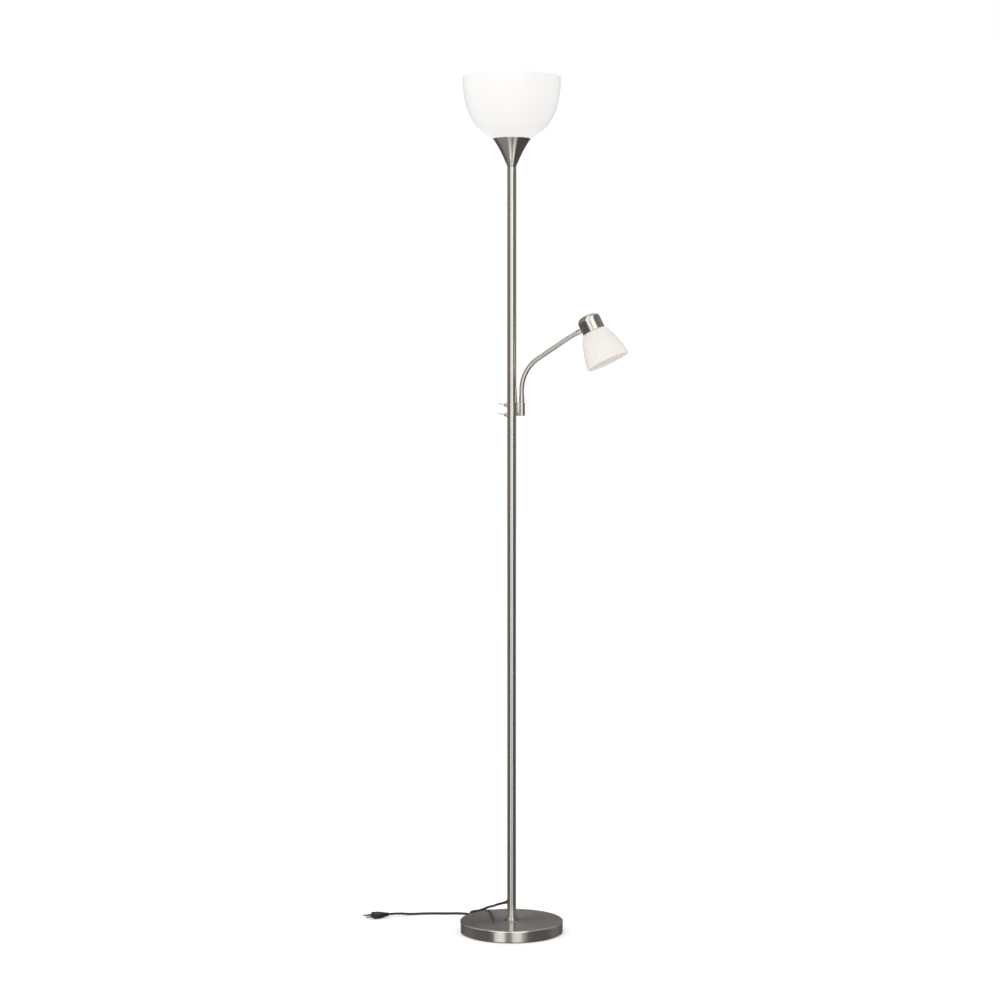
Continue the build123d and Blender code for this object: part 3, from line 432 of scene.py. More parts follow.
def soften(outline, radius, steps=5, closed=True):
    """Profile with each corner rounded: a parabola from one side of the corner to the other.

    With A and B at the rounding's reach on the two sides and C the corner, the points are
    (1-s)^2 A + 2s(1-s) C + s^2 B. The reach is at most 45 % of the shorter side. One more point beyond each
    end, at most 4 % of that side away, keeps the long sides' shading straight.
    """
    corner = np.array(outline, float)
    before = np.roll(corner, 1, axis=0)
    after = np.roll(corner, -1, axis=0)
    into, out = before - corner, after - corner
    into_length = np.linalg.norm(into, axis=1, keepdims=True)
    out_length = np.linalg.norm(out, axis=1, keepdims=True)
    shorter = np.minimum(into_length, out_length)
    reach = np.minimum(radius, 0.45 * shorter)
    first = corner + into / into_length * reach
    last = corner + out / out_length * reach
    s = np.linspace(0, 1, steps)[None, :, None]
    rounded = (1 - s) ** 2 * first[:, None] + 2 * s * (1 - s) * corner[:, None] + s ** 2 * last[:, None]
    hold = np.minimum(0.5 * reach, 0.04 * shorter)
    rounded = np.concatenate([(first + into / into_length * hold)[:, None], rounded,
                              (last + out / out_length * hold)[:, None]], axis=1)
    if not closed:
        middle = rounded[1:-1].reshape(-1, 2)
        return np.concatenate([corner[:1], middle, corner[-1:]])
    return rounded.reshape(-1, 2)


def smooth_line(points, count):
    """Points of a curve through the given ones.

    Between two of them it is the cubic that has at each end the slope that the neighbours give.
    """
    given = np.array(points, float)
    at = np.concatenate([[0.0], np.cumsum(np.linalg.norm(np.diff(given, axis=0), axis=1))])
    slope = np.gradient(given, at, axis=0, edge_order=2)
    where = np.linspace(0, at[-1], count)
    low = np.clip(np.searchsorted(at, where, side="right") - 1, 0, len(at) - 2)
    gap = (at[low + 1] - at[low])[:, None]
    t = ((where - at[low]) / gap[:, 0])[:, None]
    return ((2 * t ** 3 - 3 * t ** 2 + 1) * given[low] + (t ** 3 - 2 * t ** 2 + t) * gap * slope[low]
            + (3 * t ** 2 - 2 * t ** 3) * given[low + 1] + (t ** 3 - t ** 2) * gap * slope[low + 1])


def place(origin=(0, 0, 0), x_axis=(1, 0, 0), z_axis=(0, 0, 1)):
    """Frame as (origin, 3x3 columns X, Y, Z)."""
    z = np.array(z_axis, float) / np.linalg.norm(z_axis)
    x = np.array(x_axis, float)
    x = x - z * (x @ z)
    x = x / np.linalg.norm(x)
    return np.array(origin, float), np.stack([x, np.cross(z, x), z], axis=1)


UPRIGHT = place()


def moved(local, where):
    """Points of a frame's own coordinates in the lamp's."""
    origin, axes = where
    return local @ axes.T + origin


def full_turn(count):
    """Even angles of one turn, from 0."""
    return np.arange(count) * 2 * np.pi / count


def turned(profile, where=UPRIGHT, segments=96, closed=True):
    """Profile (radius, height) turned about the frame's Z: (r cos a, r sin a, h)."""
    profile = np.array(profile, float)
    angle = full_turn(segments)
    r, h = profile[:, :1], profile[:, 1:]
    local = np.stack([r * np.cos(angle), r * np.sin(angle), h + 0 * angle], axis=-1)
    return surface(moved(local, where), closed, True)


def rod(radius, low, high, where=UPRIGHT, edge=0.3, segments=48):
    """Solid turned cylinder with rounded edges, between two heights."""
    outline = soften([(0, low), (radius, low), (radius, high), (0, high)], edge, closed=False)
    return turned(outline, where, segments, closed=False)


def tube(outer, inner, low, high, where=UPRIGHT, edge=0.3, segments=96):
    """Hollow turned cylinder with rounded edges."""
    outline = soften([(outer, low), (outer, high), (inner, high), (inner, low)], edge)
    return turned(outline, where, segments)


def ringed(rings, angle, where):
    """Rings (radius, height) one above another, the last joined to the first: (r(a) cos a, r(a) sin a, h)."""
    local = np.stack([np.stack([r * np.cos(angle), r * np.sin(angle), np.full_like(angle, h)], axis=-1)
                      for r, h in rings])
    return surface(moved(local, where), True, True)


def hex_nut(flats, bore, low, high, where):
    """Chamfered hexagonal nut: at angle a the outside is at flats / 2 / cos(a folded into 60 degrees)."""
    angle = full_turn(96)
    folded = (angle + np.pi / 6) % (np.pi / 3) - np.pi / 6
    side = flats / 2 / np.cos(folded)
    face = np.minimum(side, flats / 2 * NUT_FACE)
    chamfer = (high - low) * NUT_CHAMFER
    outside = [(face, low), (side, low + chamfer), (side, high - chamfer), (face, high)]
    return ringed([*outside, (bore, high), (bore, low)], angle, where)


def grip_ring(outer, inner, low, high, where, ribs):
    """Ring with finger ribs: its outside is R - D (1 - |cos(n a / 2)|) at angle a, chamfered at both ends."""
    angle = full_turn(ribs * 8)
    grip = outer - GRIP_DEPTH * (1 - np.abs(np.cos(ribs * angle / 2)))
    face, chamfer = grip - 0.5, 0.6
    outside = [(face, low), (grip, low + chamfer), (grip, high - chamfer), (face, high)]
    return ringed([*outside, (inner, high), (inner, low)], angle, where)


def superellipse(power, count=64):
    """Section with |x|^p + |y|^p = 1: x is |cos a|^(2 / p) with the sign of cos a, and y likewise."""
    angle = full_turn(count)
    sides = np.stack([np.cos(angle), np.sin(angle)], axis=-1)
    return np.sign(sides) * np.abs(sides) ** (2 / power)


def rounded_box(size, where, edge):
    """Box with rounded edges: a superellipse section with power 8, drawn in towards both ends."""
    half = np.array(size) / 2
    section = superellipse(8)
    arc = np.linspace(0, np.pi / 2, 5)
    early, late = edge * (1 - np.sin(arc)), edge * (1 - np.cos(arc))
    widest = max(half[:2])
    inset = np.concatenate([[widest], early, late, [widest]])
    rise = np.concatenate([[-half[2]], -half[2] + late, half[2] - early, [half[2]]])
    reach = np.maximum(half[None, :2] - inset[:, None], 0)
    level = np.broadcast_to(rise[:, None, None], (len(rise), len(section), 1))
    local = np.concatenate([section[None] * reach[:, None], level], axis=-1)
    return surface(moved(local, where), False, True)


# ---- the neck's line ----

# lengths of its straight and round stretches one after another, and how much each bends in a millimetre
NECK_LENGTHS = (
    NECK_RISE,
    NECK_BEND * NECK_BEND_ANGLE,
    NECK_STRAIGHT,
    NECK_END_BEND * (math.pi / 2 - NECK_BEND_ANGLE - HEAD_TILT),
    NECK_END_RUN,
)
NECK_BENDS = (0.0, 1 / NECK_BEND, 0.0, 1 / NECK_END_BEND, 0.0)
NECK_WALL = sum(NECK_LENGTHS[:-1]) + NECK_TO_WALL


def neck_vector(along, up):
    """Vectors in the neck's plane from horizontal and upward parts."""
    along, up = np.broadcast_arrays(np.asarray(along, float), np.asarray(up, float))
    return np.stack([along * np.cos(NECK_TURN), -along * np.sin(NECK_TURN), up], axis=-1)


def neck_line(distance):
    """Points and headings at distances along the neck.

    Straight and circular stretches follow each other. On a circle of bend k the heading h turns by k s, the
    way out grows by (cos h - cos(h + k s)) / k and the height by (sin(h + k s) - sin h) / k.
    """
    distance = np.atleast_1d(np.asarray(distance, float))
    along = np.zeros_like(distance)
    height = np.full_like(distance, NECK_FOOT - NECK_BASE_LENGTH)
    heading = np.zeros_like(distance)
    reached = 0.0
    for length, bend in zip(NECK_LENGTHS, NECK_BENDS):
        step = np.clip(distance - reached, 0, length)
        turn = step * bend
        if bend:
            along += (np.cos(heading) - np.cos(heading + turn)) / bend
            height += (np.sin(heading + turn) - np.sin(heading)) / bend
        else:
            along += step * np.sin(heading)
            height += step * np.cos(heading)
        heading += turn
        reached += length
    points = neck_vector(along, height) + np.array([SOCKET_AXIS, 0, 0])
    return points, heading


def neck_stretch(start, end):
    """Stretch of the neck with a rib that winds round it, closed at its ends.

    At distance d and angle a its radius is R - D + D cos(2 pi d / P - a).
    """
    count = max(4, int((end - start) / RIB_PITCH * POINTS_A_RIB) + 1)
    distance = np.linspace(start, end, count)
    points, heading = neck_line(distance)
    angle = full_turn(28)
    side = neck_vector(np.cos(heading), -np.sin(heading))
    across = np.array([math.sin(NECK_TURN), math.cos(NECK_TURN), 0.0])
    wave = RIB_DEPTH * np.cos(2 * np.pi * distance[:, None] / RIB_PITCH - angle[None, :])
    radius = NECK_RADIUS - RIB_DEPTH + wave
    ring = side[:, None] * np.cos(angle)[None, :, None] + across * np.sin(angle)[None, :, None]
    body = points[:, None] + ring * radius[..., None]
    first = np.broadcast_to(points[:1, None], body[:1].shape)
    last = np.broadcast_to(points[-1:, None], body[:1].shape)
    return surface(np.concatenate([first, body, last]), False, True)


def head_place():
    """Frame of the head: origin in the cup's mouth, Z towards the shade's mouth, X away from the neck."""
    wall, _ = neck_line(NECK_WALL)
    out = neck_vector(math.cos(HEAD_TILT), math.sin(HEAD_TILT))
    down = neck_vector(math.sin(HEAD_TILT), -math.cos(HEAD_TILT))
    return place(wall[0] + out * CUP_RADIUS + down * CUP_ENTRY, out, down)


# ---- materials ----

# a finish has a material of the same name in MATERIALS
MATERIALS = {}

# how the base's and the collar's steel differ from the pole's: in roughness and brushing, and in painted
# lightness
# the base's steel is painted a touch lighter than the pole's: painted light that brightens its mirrored bands
BASE_PAINTED_LIGHTER = 1.03
BASE_ROUGHER = 1.1
BASE_BRUSHED = 1.2
BASE_LINES = 1.5
# the collar's steel is the pole's painted darker: painted shade that dims its too bright mirrored middle
COLLAR_PAINTED_DARKER = 0.66


class Nodes:
    """A node tree with short ways to add nodes, link them and do sums."""

    def __init__(self, tree):
        self.tree = tree
        tree.nodes.clear()

    def put(self, value, socket):
        """Link an output to the socket, or set the socket to a number or a colour."""
        if isinstance(value, bpy.types.NodeSocket):
            self.tree.links.new(value, socket)
        else:
            socket.default_value = value

    def made(self, kind, inputs, output, **settings):
        """One output of a new node whose inputs are given by name or number."""
        node = self.tree.nodes.new(kind)
        for key, value in settings.items():
            setattr(node, key, value)
        for key, value in inputs.items():
            self.put(value, node.inputs[key])
        return node.outputs[output]

    def calc(self, operation, *values):
        return self.made("ShaderNodeMath", dict(enumerate(values)), "Value", operation=operation)

    def total(self, *values):
        result = values[0]
        for value in values[1:]:
            result = self.calc("ADD", result, value)
        return result

    def product(self, *values):
        result = values[0]
        for value in values[1:]:
            result = self.calc("MULTIPLY", result, value)
        return result

    def ramp(self, value, start, end):
        """Smooth step from 0 where the value is the start to 1 where it is the end."""
        ends = {"From Min": min(start, end), "From Max": max(start, end)}
        steps = {"To Min": float(start > end), "To Max": float(start < end)}
        return self.made("ShaderNodeMapRange", {"Value": value, **ends, **steps}, "Result",
                         interpolation_type="SMOOTHSTEP")

    def stripe(self, value, low, high, soft):
        """1 where the value lies between low and high, 0 elsewhere, with soft edges."""
        rise = self.ramp(value, low - soft, low + soft)
        return self.product(rise, self.ramp(value, high + soft, high - soft))

    def blend(self, factor, first, second):
        """First at factor 0, second at 1."""
        return self.made("ShaderNodeMix", {"Factor": factor, "A": first, "B": second}, "Result")

    def background(self, strength):
        return self.made("ShaderNodeBackground", {"Color": WHITE, "Strength": strength}, "Background")

    def either(self, factor, first, second):
        """First shader at factor 0, second at 1."""
        return self.made("ShaderNodeMixShader", {0: factor, 1: first, 2: second}, "Shader")


class Shader(Nodes):
    """A material with one Principled shader and short ways to feed its sockets."""

    def __init__(self, name, colour, roughness, **constants):
        self.material = bpy.data.materials.new(name)
        self.material.use_nodes = True
        super().__init__(self.material.node_tree)
        self.main = self.tree.nodes.new("ShaderNodeBsdfPrincipled")
        output = self.tree.nodes.new("ShaderNodeOutputMaterial")
        self.put(self.main.outputs["BSDF"], output.inputs["Surface"])
        self.feed("Base Color", (*colour, 1.0))
        self.feed("Roughness", roughness)
        for socket, value in constants.items():
            self.feed(socket.replace("_", " "), value)

    def feed(self, socket, value):
        self.put(value, self.main.inputs[socket])

    def noise(self, scale, detail, rough=0.6, uv=False):
        """Noise with so many patches a metre, on Object coordinates or on the piece's own UV."""
        if uv:
            source = self.made("ShaderNodeUVMap", {}, "UV", uv_map=UV_NAME)
        else:
            source = self.made("ShaderNodeTexCoord", {}, "Object")
        scale = (scale,) * 3 if isinstance(scale, float) else scale
        vector = self.made("ShaderNodeMapping", {"Vector": source, "Scale": scale}, "Vector")
        inputs = {"Vector": vector, "Scale": 1.0, "Detail": detail, "Roughness": rough}
        return self.made("ShaderNodeTexNoise", inputs, "Fac")

    def spread(self, noise, low, high):
        """Noise, whose values mostly lie between 0.3 and 0.7, stretched to a range."""
        inputs = {"Value": noise, "From Min": 0.3, "From Max": 0.7, "To Min": low, "To Max": high}
        return self.made("ShaderNodeMapRange", inputs, "Result")

    def colours(self, noise, first, second):
        """Base colour that goes from one colour to another with the noise."""
        inputs = {"Factor": self.spread(noise, 0.0, 1.0), "A": (*first, 1.0), "B": (*second, 1.0)}
        self.feed("Base Color", self.made("ShaderNodeMix", inputs, "Result", data_type="RGBA"))

    def bump(self, noise, depth, strength=1.0):
        inputs = {"Height": noise, "Distance": depth, "Strength": strength}
        self.feed("Normal", self.made("ShaderNodeBump", inputs, "Normal"))


def scaled(colour, factor):
    return tuple(min(1.0, part * factor) for part in colour)


def satin_steel(name, tint, roughness, brushing, line_width):
    """Turned steel with fine lines: noise drawn out round the piece and short along its outline."""
    shader = Shader(name, tint, roughness, Metallic=1.0, Anisotropic=brushing, Anisotropic_Rotation=0.25)
    lines = shader.noise((6.0, 1 / line_width, 1.0), 3.0, uv=True)
    broad = shader.noise((14.0, 14.0, 9.0), 2.0)
    shader.feed("Roughness", shader.spread(lines, roughness * 0.85, roughness * 1.2))
    shader.colours(broad, scaled(tint, 0.95), scaled(tint, 1.05))
    shader.bump(lines, 0.000006, 0.3)
    tangent = shader.made("ShaderNodeTangent", {}, "Tangent", direction_type="UV_MAP", uv_map=UV_NAME)
    shader.feed("Tangent", tangent)
    return shader.material


def opal_glass(name, tint, depth):
    """White cased glass: a glossy skin over a body that spreads light, a touch uneven in tone."""
    shader = Shader(name, tint, 0.34, IOR=1.45, Specular_IOR_Level=0.3, Subsurface_Weight=0.4,
                    Subsurface_Scale=depth, Subsurface_Radius=(1.0, 0.95, 0.85))
    shader.colours(shader.noise((9.0, 9.0, 6.0), 2.0), scaled(tint, 0.985), scaled(tint, 1.01))
    shader.bump(shader.noise(30.0, 1.0), 0.00006, 0.3)
    return shader.material


def moulded(name, colour, roughness=0.42, grain=1800.0):
    """Moulded plastic or rubber: fine grain in bump and polish, and a slow change of tone."""
    shader = Shader(name, colour, roughness)
    fine = shader.noise(grain, 2.0)
    shader.feed("Roughness", shader.spread(fine, roughness * 0.85, roughness * 1.15))
    shader.colours(shader.noise(40.0, 2.0), scaled(colour, 0.9), scaled(colour, 1.12))
    shader.bump(fine, 0.00002, 0.6)
    return shader.material


def mottled(name, colours, patches, polish=None, depth=0.0, **constants):
    """Finish with one noise in its colour and, where they are given, in its polish and its bump.

    The colours are the middle one and the two ends, and the patches are the noise's scale, detail and
    roughness.
    """
    middle, dark, light = colours
    shader = Shader(name, middle, **constants)
    noise = shader.noise(*patches)
    if polish:
        shader.feed("Roughness", shader.spread(noise, *polish))
    shader.colours(noise, dark, light)
    if depth:
        shader.bump(noise, depth)
    return shader.material


def make_materials(scene):
    """Material of each finish, from the user's settings where there are any."""
    metal, glass, cord = scene.lamp_metal, scene.lamp_glass, scene.lamp_cord
    tint, rough, brushing, line = tuple(metal.tint), metal.roughness, metal.brushing, metal.line_width
    MATERIALS["steel"] = satin_steel("satin_steel", tint, rough, brushing, line)
    # the base's steel: rougher and more brushed than the pole's, and painted a touch lighter, which is
    # painted light
    MATERIALS["base"] = satin_steel("brushed_base_steel_painted_light", scaled(tint, BASE_PAINTED_LIGHTER), rough * BASE_ROUGHER,
                                    min(1.0, brushing * BASE_BRUSHED), line * BASE_LINES)
    # the collar's steel: the pole's steel painted darker, which is painted shade
    MATERIALS["collar"] = satin_steel("collar_steel_painted_shade", scaled(tint, COLLAR_PAINTED_DARKER), rough, brushing, line)
    MATERIALS["glass"] = opal_glass("opal_glass", tuple(glass.tint), glass.depth)
    # the reading shade's glass is the bowl's opal glass painted darker and warmer: painted shade
    MATERIALS["small_shaded_glass"] = opal_glass("opal_glass_small_painted_shade", tuple(glass.small_shaded_tint), glass.depth)
    MATERIALS["bulb"] = mottled(
        "frosted_bulb", ((0.9, 0.9, 0.88), (0.87, 0.87, 0.85), (0.93, 0.93, 0.91)), (50.0, 2.0),
        roughness=0.3, Subsurface_Weight=0.3, Subsurface_Scale=0.003)
    MATERIALS["zinc"] = MATERIALS["pins"] = mottled(
        "zinc_plate", ((0.52, 0.52, 0.5), (0.46, 0.46, 0.45), (0.58, 0.58, 0.55)), (160.0, 4.0),
        polish=(0.3, 0.48), roughness=0.38, Metallic=1.0)
    MATERIALS["iron"] = mottled(
        "cast_iron", ((0.09, 0.09, 0.095), (0.07, 0.07, 0.075), (0.13, 0.125, 0.12)), (260.0, 6.0),
        depth=0.0006, roughness=0.7, Metallic=0.6)
    MATERIALS["felt"] = mottled(
        "pressed_felt", ((0.03, 0.03, 0.032), (0.02, 0.02, 0.022), (0.055, 0.055, 0.058)), (900.0, 8.0, 0.8),
        depth=0.0003, roughness=0.95, Sheen_Weight=0.4)
    MATERIALS["holder"] = moulded("white_plastic", (0.72, 0.71, 0.68))
    MATERIALS["black"] = moulded("black_plastic", (0.02, 0.02, 0.022), 0.35)
    MATERIALS["cord"] = moulded("cord_sheath", tuple(cord.tint), 0.4, grain=900.0)


# ---- the stage ----

# Stripes in front that the steel mirrors: (left, right) of the sideways direction, which runs from -1 to 1.
# left_low is there below the level, right_level at and above it, left_high and right_high well above it.
STRIPE_EDGE = 0.04
STRIPES = {
    "left": (-0.54, -0.26),
    "left_low": (-0.62, -0.54),
    "left_high": (-0.74, -0.54),
    "gap": (-0.26, 0.02),
    "right": (0.02, 0.38),
    "right_level": (0.38, 0.52),
    "right_high": (0.52, 0.6),
    "fold": (-0.86, -0.6),
}

# Smooth steps by the upward direction, from 0 at the first value to 1 at the second.
BELOW = (-0.3, -0.6)
FAR_BELOW = (-0.6, -0.95)
UNDER_LEVEL = (0.0, -0.2)
NEAR_LEVEL = (-0.18, -0.08)
WELL_ABOVE = (0.1, 0.2)
PANEL_SHIFT = (-0.45, -0.65)
WALL_RISE = (-0.14, 0.04)
FOLD_END = (-0.1, 0.0)
REAR_RISE = (-0.3, -0.1)

# The same by the sideways direction, and the last one by the backward direction.
LEFT_EDGE = (-0.52, -0.6)
LEFT_EDGE_HIGH = (-0.72, -0.8)
RIGHT_EDGE = (0.36, 0.44)
REAR_SIDES = (0.3, 0.9)
IN_FRONT = (0.25, -0.15)

# Bands by the upward direction: low, high and softness.
RIGHT_DIM = (-0.4, -0.2, 0.02)
LOW_DIM = (-0.38, -0.08, 0.1)
SKIRTING = (-0.18, -0.05, 0.02)

# Lit patches behind: (left, right, softness), (low, high, softness) and brightness.
WINDOW = ((0.06, 0.3, 0.1), (0.14, 0.36, 0.08), 0.3)
CEILING = ((-0.4, 0.35, 0.06), (0.53, 0.85, 0.08), 1.2)
REAR_PANEL = ((-0.34, 0.3, 0.04), (-0.6, -0.1, 0.06), 1.1)
REAR_WALL = 0.11

SENSOR = 36.0
CAMERA_REACH = 60.0
FLOOR_REACH = 14.0
KEY_PLACE = (-2.0, -3.0, 3.2)
KEY_TURN = (math.radians(52), 0.0, math.radians(-34))
KEY_SIZE = 3.0
KEY_POWER = 12.0


class LAMP_OT_stage(bpy.types.Operator):
    """Camera, white floor, even light and the studio that the steel mirrors"""

    bl_idname = "lamp.stage"
    bl_label = "Camera, floor and light"

    def execute(self, context):
        scene = context.scene
        settings = scene.lamp_stage
        self.camera(scene, settings)
        scene.view_settings.view_transform = "Standard"
        self.world(scene, settings)
        self.floor(scene, settings)
        self.key_light(scene)
        return {"FINISHED"}

    def camera(self, scene, settings):
        data = bpy.data.cameras.new("photo_camera")
        data.lens = settings.lens
        data.sensor_width = SENSOR
        data.clip_end = CAMERA_REACH
        camera = bpy.data.objects.new("photo_camera", data)
        camera.location = settings.camera_place
        camera.rotation_euler = (math.pi / 2 - settings.pitch, 0.0, 0.0)
        scene.collection.objects.link(camera)
        scene.camera = camera

    def world(self, scene, settings):
        """White for the camera and through glass, the studio in reflections, even light for matt surfaces."""
        scene.world = bpy.data.worlds.new("studio")
        scene.world.use_nodes = True
        nodes = Nodes(scene.world.node_tree)
        ray = nodes.tree.nodes.new("ShaderNodeLightPath").outputs
        mirrored = nodes.background(self.studio(nodes, settings.panel))
        lit = nodes.either(ray["Is Glossy Ray"], nodes.background(settings.sky), mirrored)
        seen = nodes.calc("MAXIMUM", ray["Is Camera Ray"], ray["Is Transmission Ray"])
        output = nodes.tree.nodes.new("ShaderNodeOutputWorld")
        nodes.put(nodes.either(seen, lit, nodes.background(1.0)), output.inputs["Surface"])

    def studio(self, nodes, panel):
        """Brightness by direction: one studio in front and steeply below, another one behind."""
        direction = nodes.made("ShaderNodeTexCoord", {}, "Generated")
        x, y, z = nodes.made("ShaderNodeSeparateXYZ", {"Vector": direction}, "X").node.outputs
        low = nodes.ramp(z, *BELOW)
        in_front = nodes.calc("MAXIMUM", low, nodes.ramp(y, *IN_FRONT))
        return nodes.blend(in_front, self.behind(nodes, x, z), self.ahead(nodes, x, z, low, panel))

    def ahead(self, nodes, x, z, low, panel):
        """Two panels with a gap between them and a wall beyond each, darker in low directions.

        They are stripes of x / (0.35 + 0.65 c), where c is the cosine of the angle above or below the level,
        so that they draw together towards straight up and straight down. Low down they stand further right.
        """
        near_level = nodes.ramp(z, *NEAR_LEVEL)
        high = nodes.ramp(z, *WELL_ABOVE)
        square = nodes.calc("SUBTRACT", 1.0, nodes.product(z, z))
        cosine = nodes.calc("SQRT", nodes.calc("MAXIMUM", square, 0.0))
        drawn = nodes.calc("DIVIDE", x, nodes.calc("MULTIPLY_ADD", cosine, 0.65, 0.35))
        across = nodes.calc("SUBTRACT", drawn, nodes.product(nodes.ramp(z, *PANEL_SHIFT), 0.2))
        stripes = {name: nodes.stripe(across, *ends, STRIPE_EDGE) for name, ends in STRIPES.items()}

        right_dim = nodes.product(nodes.stripe(z, *RIGHT_DIM), 0.3)
        panels = nodes.product(nodes.total(
            stripes["left"],
            nodes.product(nodes.blend(near_level, 1.0, 0.0), stripes["left_low"]),
            nodes.product(high, stripes["left_high"]),
            nodes.product(nodes.calc("SUBTRACT", 1.0, right_dim), stripes["right"]),
            nodes.product(near_level, stripes["right_level"]),
            nodes.product(high, stripes["right_high"]),
        ), panel)
        above, below = nodes.blend(high, 1.35, 0.75), nodes.blend(low, 0.0, 0.5)
        gap = nodes.product(stripes["gap"], nodes.blend(nodes.ramp(z, *UNDER_LEVEL), above, below))
        dim = nodes.total(nodes.product(nodes.stripe(z, *LOW_DIM), 0.3), nodes.product(low, 0.12),
                          nodes.product(nodes.ramp(z, *FAR_BELOW), 0.5))
        lights = nodes.product(nodes.total(panels, gap), nodes.calc("SUBTRACT", 1.0, dim))

        wall_fall = nodes.calc("MULTIPLY_ADD", nodes.ramp(z, *WALL_RISE), 0.55, 0.45)
        skirting = nodes.blend(nodes.stripe(z, *SKIRTING), 1.0, 0.6)
        fold = nodes.blend(nodes.ramp(z, *FOLD_END), 1.0, nodes.blend(stripes["fold"], 1.0, 0.3))
        wall = nodes.total(nodes.product(low, 0.2), nodes.product(high, 0.14), nodes.product(wall_fall, 0.28))
        left_edge = nodes.blend(high, nodes.ramp(across, *LEFT_EDGE), nodes.ramp(across, *LEFT_EDGE_HIGH))
        left_wall = nodes.product(skirting, fold, wall, left_edge)
        right = nodes.blend(low, nodes.product(nodes.blend(near_level, 0.28, 0.2), skirting), 0.2)
        right_wall = nodes.product(wall_fall, right, nodes.ramp(across, *RIGHT_EDGE))
        return nodes.total(lights, left_wall, right_wall)

    def behind(self, nodes, x, z):
        """Dim wall with a window, lighter at its sides and darker low down, a lit ceiling and a low panel."""
        window, ceiling, rear_panel = (
            nodes.product(nodes.stripe(z, *band), brightness, nodes.stripe(x, *stripe))
            for stripe, band, brightness in (WINDOW, CEILING, REAR_PANEL))
        sides = nodes.product(nodes.ramp(nodes.calc("ABSOLUTE", x), *REAR_SIDES), 0.2)
        fall = nodes.calc("MULTIPLY_ADD", nodes.ramp(z, *REAR_RISE), 0.7, 0.3)
        wall = nodes.product(nodes.total(REAR_WALL, window, sides), fall)
        return nodes.total(wall, ceiling, rear_panel)

    def floor(self, scene, settings):
        """White floor that steel does not mirror; for the camera alone it also shines a little."""
        shader = Shader("white_floor", (0.92, 0.92, 0.92), 0.9, Specular_IOR_Level=0.0, Emission_Color=WHITE)
        shader.colours(shader.noise(0.6, 2.0), (0.91, 0.91, 0.91), (0.93, 0.93, 0.93))
        seen = shader.made("ShaderNodeLightPath", {}, "Is Camera Ray")
        shader.feed("Emission Strength", shader.product(seen, settings.floor_white))
        corner = np.array([(-1, -1, 0), (1, -1, 0), (1, 1, 0), (-1, 1, 0)]) * FLOOR_REACH
        mesh = bpy.data.meshes.new("floor")
        mesh.from_pydata(corner.tolist(), [], [(0, 1, 2, 3)])
        mesh.materials.append(shader.material)
        floor = bpy.data.objects.new("floor", mesh)
        floor.visible_glossy = False
        scene.collection.objects.link(floor)

    def key_light(self, scene):
        """Large faint light from the upper left, which steel does not mirror."""
        data = bpy.data.lights.new("key_light", "AREA")
        data.shape = "SQUARE"
        data.size = KEY_SIZE
        data.energy = KEY_POWER
        light = bpy.data.objects.new("key_light", data)
        light.location = KEY_PLACE
        light.rotation_euler = KEY_TURN
        light.visible_camera = False
        light.visible_glossy = False
        scene.collection.objects.link(light)


# ---- the pieces ----

class LAMP_OT_base(bpy.types.Operator):
    """Spun cover, felt and the flared collar at the pole's foot"""

    bl_idname = "lamp.base"
    bl_label = "Base"

    def execute(self, context):
        # the shell takes the base's steel, painted a touch lighter than the pole's: painted light
        piece("base_shell", "stand", [turned(self.cover(), segments=256)], "base", ["base_cover"])
        felt = rod(radius_of("felt_pad"), *heights("felt_pad"), edge=0.6, segments=160)
        piece("felt_disc", "stand", [felt], "felt", ["felt_pad"])
        # the collar takes the darker copy of the steel: painted shade
        piece("foot_flare", "stand", [turned(self.collar())], "collar", ["foot_collar"])
        return {"FINISHED"}

    def cover(self):
        """Outline of a shell: flat top, round edge and upright side, then back inside, one wall away."""
        foot = COVER_LOW + COVER_ROOM
        inside, ceiling = BASE_RADIUS - BASE_WALL, BASE_TOP - BASE_WALL
        outer = [(NIPPLE_HOLE, BASE_TOP), (BASE_RADIUS, BASE_TOP), (BASE_RADIUS, foot)]
        inner = [(inside, foot), (inside, ceiling), (NIPPLE_HOLE, ceiling)]
        outer = soften(outer, BASE_EDGE, 9, closed=False)
        inner = soften(inner, BASE_EDGE - BASE_WALL, 5, closed=False)
        top = np.linspace(NIPPLE_HOLE, BASE_RADIUS - 2 * BASE_EDGE, 40)[:, None]
        flat = np.concatenate([top, np.full_like(top, BASE_TOP)], axis=1)
        return np.concatenate([flat, outer[1:], inner])

    def collar(self):
        """Outline that flares from just over the pole down to the foot."""
        low, high = heights("foot_collar")
        reach, bore = radius_of("foot_collar"), POLE_RADIUS + SLIDE_ROOM
        step_in, step_up = COLLAR_STEP
        taper_out, taper_down = COLLAR_TAPER
        flare = smooth_line([(reach, low + COLLAR_LIP), (reach - step_in, low + step_up),
                             (COLLAR_NECK + taper_out, high - taper_down), (COLLAR_NECK, high)], 18)
        return np.concatenate([flare, [(bore, high), (bore, low), (reach, low)]])


class LAMP_OT_pole(bpy.types.Operator):
    """Three satin steel tubes that meet in hairline joints"""

    bl_idname = "lamp.pole"
    bl_label = "Pole"

    def execute(self, context):
        for name in ("lower_pole", "middle_pole", "upper_pole"):
            wall = tube(POLE_RADIUS, POLE_RADIUS - POLE_WALL, *heights(name), edge=POLE_EDGE)
            piece(f"{name}_tube", "stand", [wall], "steel", [name])
        return {"FINISHED"}


